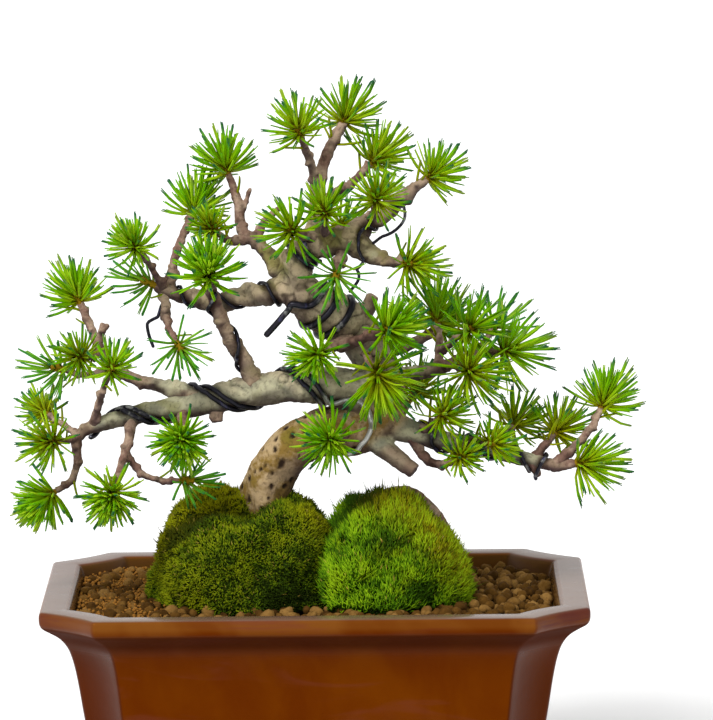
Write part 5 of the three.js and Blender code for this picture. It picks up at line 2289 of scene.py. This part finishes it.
    def _needles(self, lines: Array, size: int, old: float, ripeness: float, hue: float, kind: TuftKind,
                 form: Form) -> None:
        """Adds needles as slim three-sided blades with blunt tips, gently curved.

        Args:
            lines: The bundles' lines.
            size: How many needles a bundle has.
            old: 1 for last year's needles, else 0.
            ripeness: How far along its colours a needle gets, up to 1 for a blue-green tip.
            hue: From cool, 0, to olive, 1.
            kind: How the tuft has grown.
            form: Where they go.
        """
        root, waist, tip = self._bundles(lines, size).transpose(1, 0, 2)
        lowest, highest = (np.array(corner) / MM - SHIFT for corner in CAD_BOX)
        tip = np.clip(tip, lowest + self.margin, highest - self.margin)
        places, swell = np.array(self.rings), np.array(self.ring_widths)
        t = places[None, :, None]
        along = unit(tip - root)
        sway = np.repeat(self.random.normal(0, self.bow, (len(lines), 3)), size, axis=0)
        sway -= (0, 0, self.sag * (1 - old))
        sway -= (sway * along).sum(axis=1)[:, None] * along
        bend = waist * 1.5 - (root + tip) * 0.25 + (tip - root) * 0.08
        bend += sway * np.linalg.norm(tip - root, axis=1)[:, None]
        path = (1 - t) ** 2 * root[:, None] + 2 * t * (1 - t) * bend[:, None] + t ** 2 * tip[:, None]
        side = unit(np.cross(along, self.random.normal(0, 1, along.shape)))
        other = np.cross(along, side)
        count, rings = len(root), len(places)
        angles = TURN * np.arange(3) / 3
        ring = side[:, None] * np.cos(angles)[:, None] + other[:, None] * np.sin(angles)[:, None]
        width = kind.girth * self.half_width * self.random.uniform(0.88, 1.12, (count, 1, 1, 1))
        points = path[:, :, None] + ring[:, None] * swell[None, :, None, None] * width
        pattern = ring_faces(rings, 3)
        pattern = [(a, b, c) for a, b, c, _ in pattern] + [(a, c, d) for a, _, c, d in pattern]
        last = 3 * (rings - 1)
        pattern += [(2, 1, 0), (last, last + 1, last + 2)]
        base = 3 * rings * np.arange(count)[:, None, None]
        # Painted light: the kind's pale lifts the shade of every bundle
        shade = kind.pale + np.repeat(self.random.uniform(0.05, 0.95, len(lines)), size)
        shade = shade + self.random.uniform(-self.mottle, self.mottle, count)
        form.add(points.reshape(-1, 3), (base + np.array(pattern)).reshape(-1, 3),
                 along=ripeness * np.tile(np.repeat(places, 3), count),
                 shade=np.repeat(shade, 3 * rings), old=old, bud=0.0, hue=hue)

    def _shoot(self, limb: Limb, form: Form) -> None:
        """Adds the scaly shoot that carries the needles.

        Args:
            limb: The twig that it grows from.
            form: Where it goes.
        """
        path, radii = limb.line(0.5)
        way = unit(path[-1] - path[-3])
        places = np.linspace(-self.shoot_sunk, 1, self.shoot_rings)
        line = path[-1] + way * (places * self.shoot_length)[:, None]
        shape = np.interp(places, [-self.shoot_sunk, 0.1, 0.25, 0.5, 0.8, 1],
                          [radii[-1] / self.shoot_radius * 0.9, 0.85, 0.95, 1, 0.78, 0.1])
        angles = TURN * np.arange(self.shoot_sides) / self.shoot_sides
        scales = 1 + 0.14 * np.sin(5 * angles + 2.4 * np.arange(self.shoot_rings)[:, None])
        points, faces = tube(line, shape * self.shoot_radius, self.shoot_sides, scales)
        shade = self.random.uniform(0.2, 0.8)
        form.add(points, faces, along=0.05, shade=shade, old=0.0, bud=0.75, hue=0.5)

    def build(self, limbs: dict[str, Limb]) -> list[Object]:
        """The tufts' meshes.

        Args:
            limbs: Every limb by its name.

        Returns:
            A piece for each tuft.
        """
        pieces = []
        for name in (*TUFTED_BRANCHES, *TWIGS):
            form = Form()
            kind = self.kind_of(name)
            hue = kind.hue + self.random.uniform(-0.08, 0.08)
            lines = self._needle_lines("needles_" + name)
            inner = self._inner_lines(lines, kind)
            old = self._old_lines(limbs[name], lines, kind.old_count)
            self._shoot(limbs[name], form)
            groups = ((lines, self.bundle, 0.0, 1.0),
                      (inner, self.inner_bundle, 0.0, self.inner_ripeness),
                      (old, self.old_bundle, 1.0, 1.0))
            for group, size, age, ripeness in groups:
                self._needles(group, size, age, ripeness, hue, kind, form)
            pieces.append(form.to_object("tuft_" + name))
        return pieces

    def dress(self, pieces: list[Object]) -> None:
        """Gives the tufts their greens.

        Args:
            pieces: The tufts.
        """
        green = NeedleFinish().material()
        for piece in pieces:
            hand_over(piece, green, "needle", piece.name.replace("tuft_", "needles_", 1))


@dataclass
class DrainScreens:
    """The two screens over the drain holes, which keep their CAD shape."""

    nodes: tuple[str, ...] = ("drain_screen_left", "drain_screen_right")

    def dress(self) -> None:
        """Gives the screens their plastic."""
        plastic = ScreenFinish().material()
        for node in self.nodes:
            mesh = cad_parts[node].data
            mesh.materials.clear()
            mesh.materials.append(plastic)
            log.info("%s keeps its CAD shape", node)


# The studio


@dataclass
class Studio:
    """A pale floor, soft light and a camera where the photograph was taken from."""

    photo: Pair = (713, 720)
    focal: float = 6478
    target: Triple = (0, 0, 78)
    target_pixel: Pair = (315.754, 584.041)
    distance: float = 2494.2
    elevation: float = 10.283
    yaw: float = 0.608
    roll: float = 0.638
    sensor: float = 36
    # In metres, as the floor is
    clip: Pair = (0.1, 40)
    floor_side: float = 14
    sky: float = 0.82
    sun: float = 2.35
    sun_softness: float = 24
    sun_from: Triple = (-0.75, -1.0, 1.3)

    def camera(self) -> None:
        """The camera, turned so that its target lands on the target's pixel."""
        el, yaw, roll = (math.radians(a) for a in (self.elevation, self.yaw, self.roll))
        ahead = Vector((-math.sin(yaw) * math.cos(el), math.cos(yaw) * math.cos(el), -math.sin(el)))
        right = ahead.cross(Vector((0, 0, 1))).normalized()
        up = right.cross(ahead)
        tilted_right = math.cos(roll) * right - math.sin(roll) * up
        tilted_up = math.sin(roll) * right + math.cos(roll) * up
        target = Vector((np.array(self.target) + SHIFT) * MM)
        place = target - ahead * self.distance * MM
        across = self.photo[0] / 2 - self.target_pixel[0]
        down = self.photo[1] / 2 - self.target_pixel[1]
        aim = (self.focal * ahead + across * tilted_right - down * tilted_up).normalized()
        side = aim.cross(tilted_up).normalized()
        above = side.cross(aim)
        data = bpy.data.cameras.new("photo_camera")
        data.sensor_width = self.sensor
        data.lens = self.focal / max(self.photo) * self.sensor
        data.clip_start, data.clip_end = self.clip
        camera = linked("photo_camera", data)
        turn = Matrix((side, above, -aim)).transposed()
        camera.matrix_world = Matrix.Translation(place) @ turn.to_4x4()
        bpy.context.scene.camera = camera

    def floor(self) -> None:
        """The pale floor."""
        half = self.floor_side / 2
        mesh = bpy.data.meshes.new("floor")
        mesh.from_pydata([(-half, -half, 0), (half, -half, 0), (half, half, 0), (-half, half, 0)],
                         [], [(0, 1, 2, 3)])
        shader = Shader("paper floor")
        body = shader.mix(shader.noise(400, 2), "#fbfbfb", "#ffffff")
        mesh.materials.append(shader.finish(body, 0.95))
        linked("floor", mesh)

    def light(self) -> None:
        """One large soft lamp, high at the left in front."""
        data = bpy.data.lights.new("key", "SUN")
        data.energy = self.sun
        data.angle = math.radians(self.sun_softness)
        lamp = linked("key", data)
        lamp.location = self.sun_from
        lamp.rotation_euler = (-lamp.location).to_track_quat("-Z", "Y").to_euler()

    def build(self) -> None:
        """The whole studio."""
        self.camera()
        self.floor()
        world = bpy.data.worlds.new("studio")
        world.use_nodes = True
        sky = world.node_tree.nodes["Background"]
        sky.inputs["Color"].default_value = (1, 1, 1, 1)
        sky.inputs["Strength"].default_value = self.sky
        bpy.context.scene.world = world
        self.light()
        bpy.context.scene.view_settings.view_transform = "Standard"


def mounds() -> tuple[MossMound, MossMound]:
    """The two moss mounds.

    Returns:
        The dark left one and the bright right one.
    """
    dark = MossFinish(name="dark moss", deep="#141b00", body="#415c00", patch="#657800", tip="#9aa010",
                      dry="#8a7a30", ripe="#a8a000", patch_size=12, patch_share=0.08)
    bright = MossFinish(name="bright moss", deep="#1c3400", body="#4a7800", patch="#6f8a00",
                        tip="#9bc214", dry="#a8943c", ripe="#8f7800", patch_size=10, patch_share=0.08)
    left = MossMound(
        name="moss_cushion_left", centre=(-26, -2), half=(39, 38), rise=43,
        peak_shift=1, square=2.5, lean=-0.1, phase=0.4,
        lobes=((-46, 8, 110, 14, 2.5), (-44, -30, 90, 15, 2), (-4, -20, 106, 13, 3.5),
               (-8, 22, 108, 15, 2), (-24.5, -16, 113, 9, -11), (-47, -15, 104, 8, -5),
               (-20, -37, 84, 8, -2.5)),
        ripe_spots=((-38, -4, 113, 13, 1.3), (-58, -12, 98, 13, 0.8), (4, -18, 110, 11, 1),
                    (-52, -34, 78, 14, 0.4)),
        shaded_spots=((-4, -40, 76, 11, 1.4), (-51, -16, 97, 7, 0.9), (-42, -18, 104, 6, 0.9)),
        blade_count=34000, blade_length=2.2, blade_width=0.46, blade_lift=0.2, blade_mess=0.42,
        cushion=13, cushion_depth=1.9, grain=2.4, grain_depth=0.75, seed=5, finish=dark)
    right = MossMound(
        name="moss_cushion_right", centre=(29, -8), half=(32, 31), rise=41.5,
        peak_shift=-2, square=2.2, lean=-0.4, phase=2.1,
        lobes=((34, -8, 112, 14, 1.5), (14, -32, 88, 12, 2.5), (48, -24, 92, 13, 2),
               (32, -30, 100, 9, -2.5), (10, -14, 106, 8, -2.5), (46, -6, 106, 9, -2.5),
               (2, -10, 113, 14, -8)),
        ripe_spots=((47, -14, 104, 15, 1.5), (57, -22, 90, 14, 0.9), (27, -14, 114, 14, 0.9)),
        shaded_spots=((22, -6, 114, 10, 0.9), (44, -40, 76, 9, 0.7)),
        blade_count=25000, blade_length=4.2, blade_width=0.5, blade_lift=0.62, blade_mess=0.25,
        cushion=13, cushion_depth=1.6, grain=3, grain_depth=0.6, seed=8, finish=bright)
    return left, right


def main() -> None:
    """Builds and dresses each sub-assembly, in order."""
    logging.basicConfig(level=logging.INFO, format="%(message)s")
    Studio().build()
    pot = Pot()
    pot.dress(pot.build())
    DrainScreens().dress()
    wood = Wood()
    limbs = wood.limbs()
    left, right = mounds()
    trunk_line, trunk_radii = limbs["trunk"].line(3)
    trunk = np.c_[trunk_line, trunk_radii - MOSS_OVERLAP]
    left.dress(left.build([right], trunk), "moss_left")
    right.dress(right.build([], trunk), "moss_right")
    soil = Soil(pot)
    soil.dress(soil.build([left, right]))
    wires = Wires()
    lines = wires.lines()
    timber = wood.build(limbs, lines)
    wood.dress(timber)
    wires.dress(wires.build(lines, timber))
    tufts = Tufts()
    tufts.dress(tufts.build(limbs))


if __name__ == "__main__":
    main()
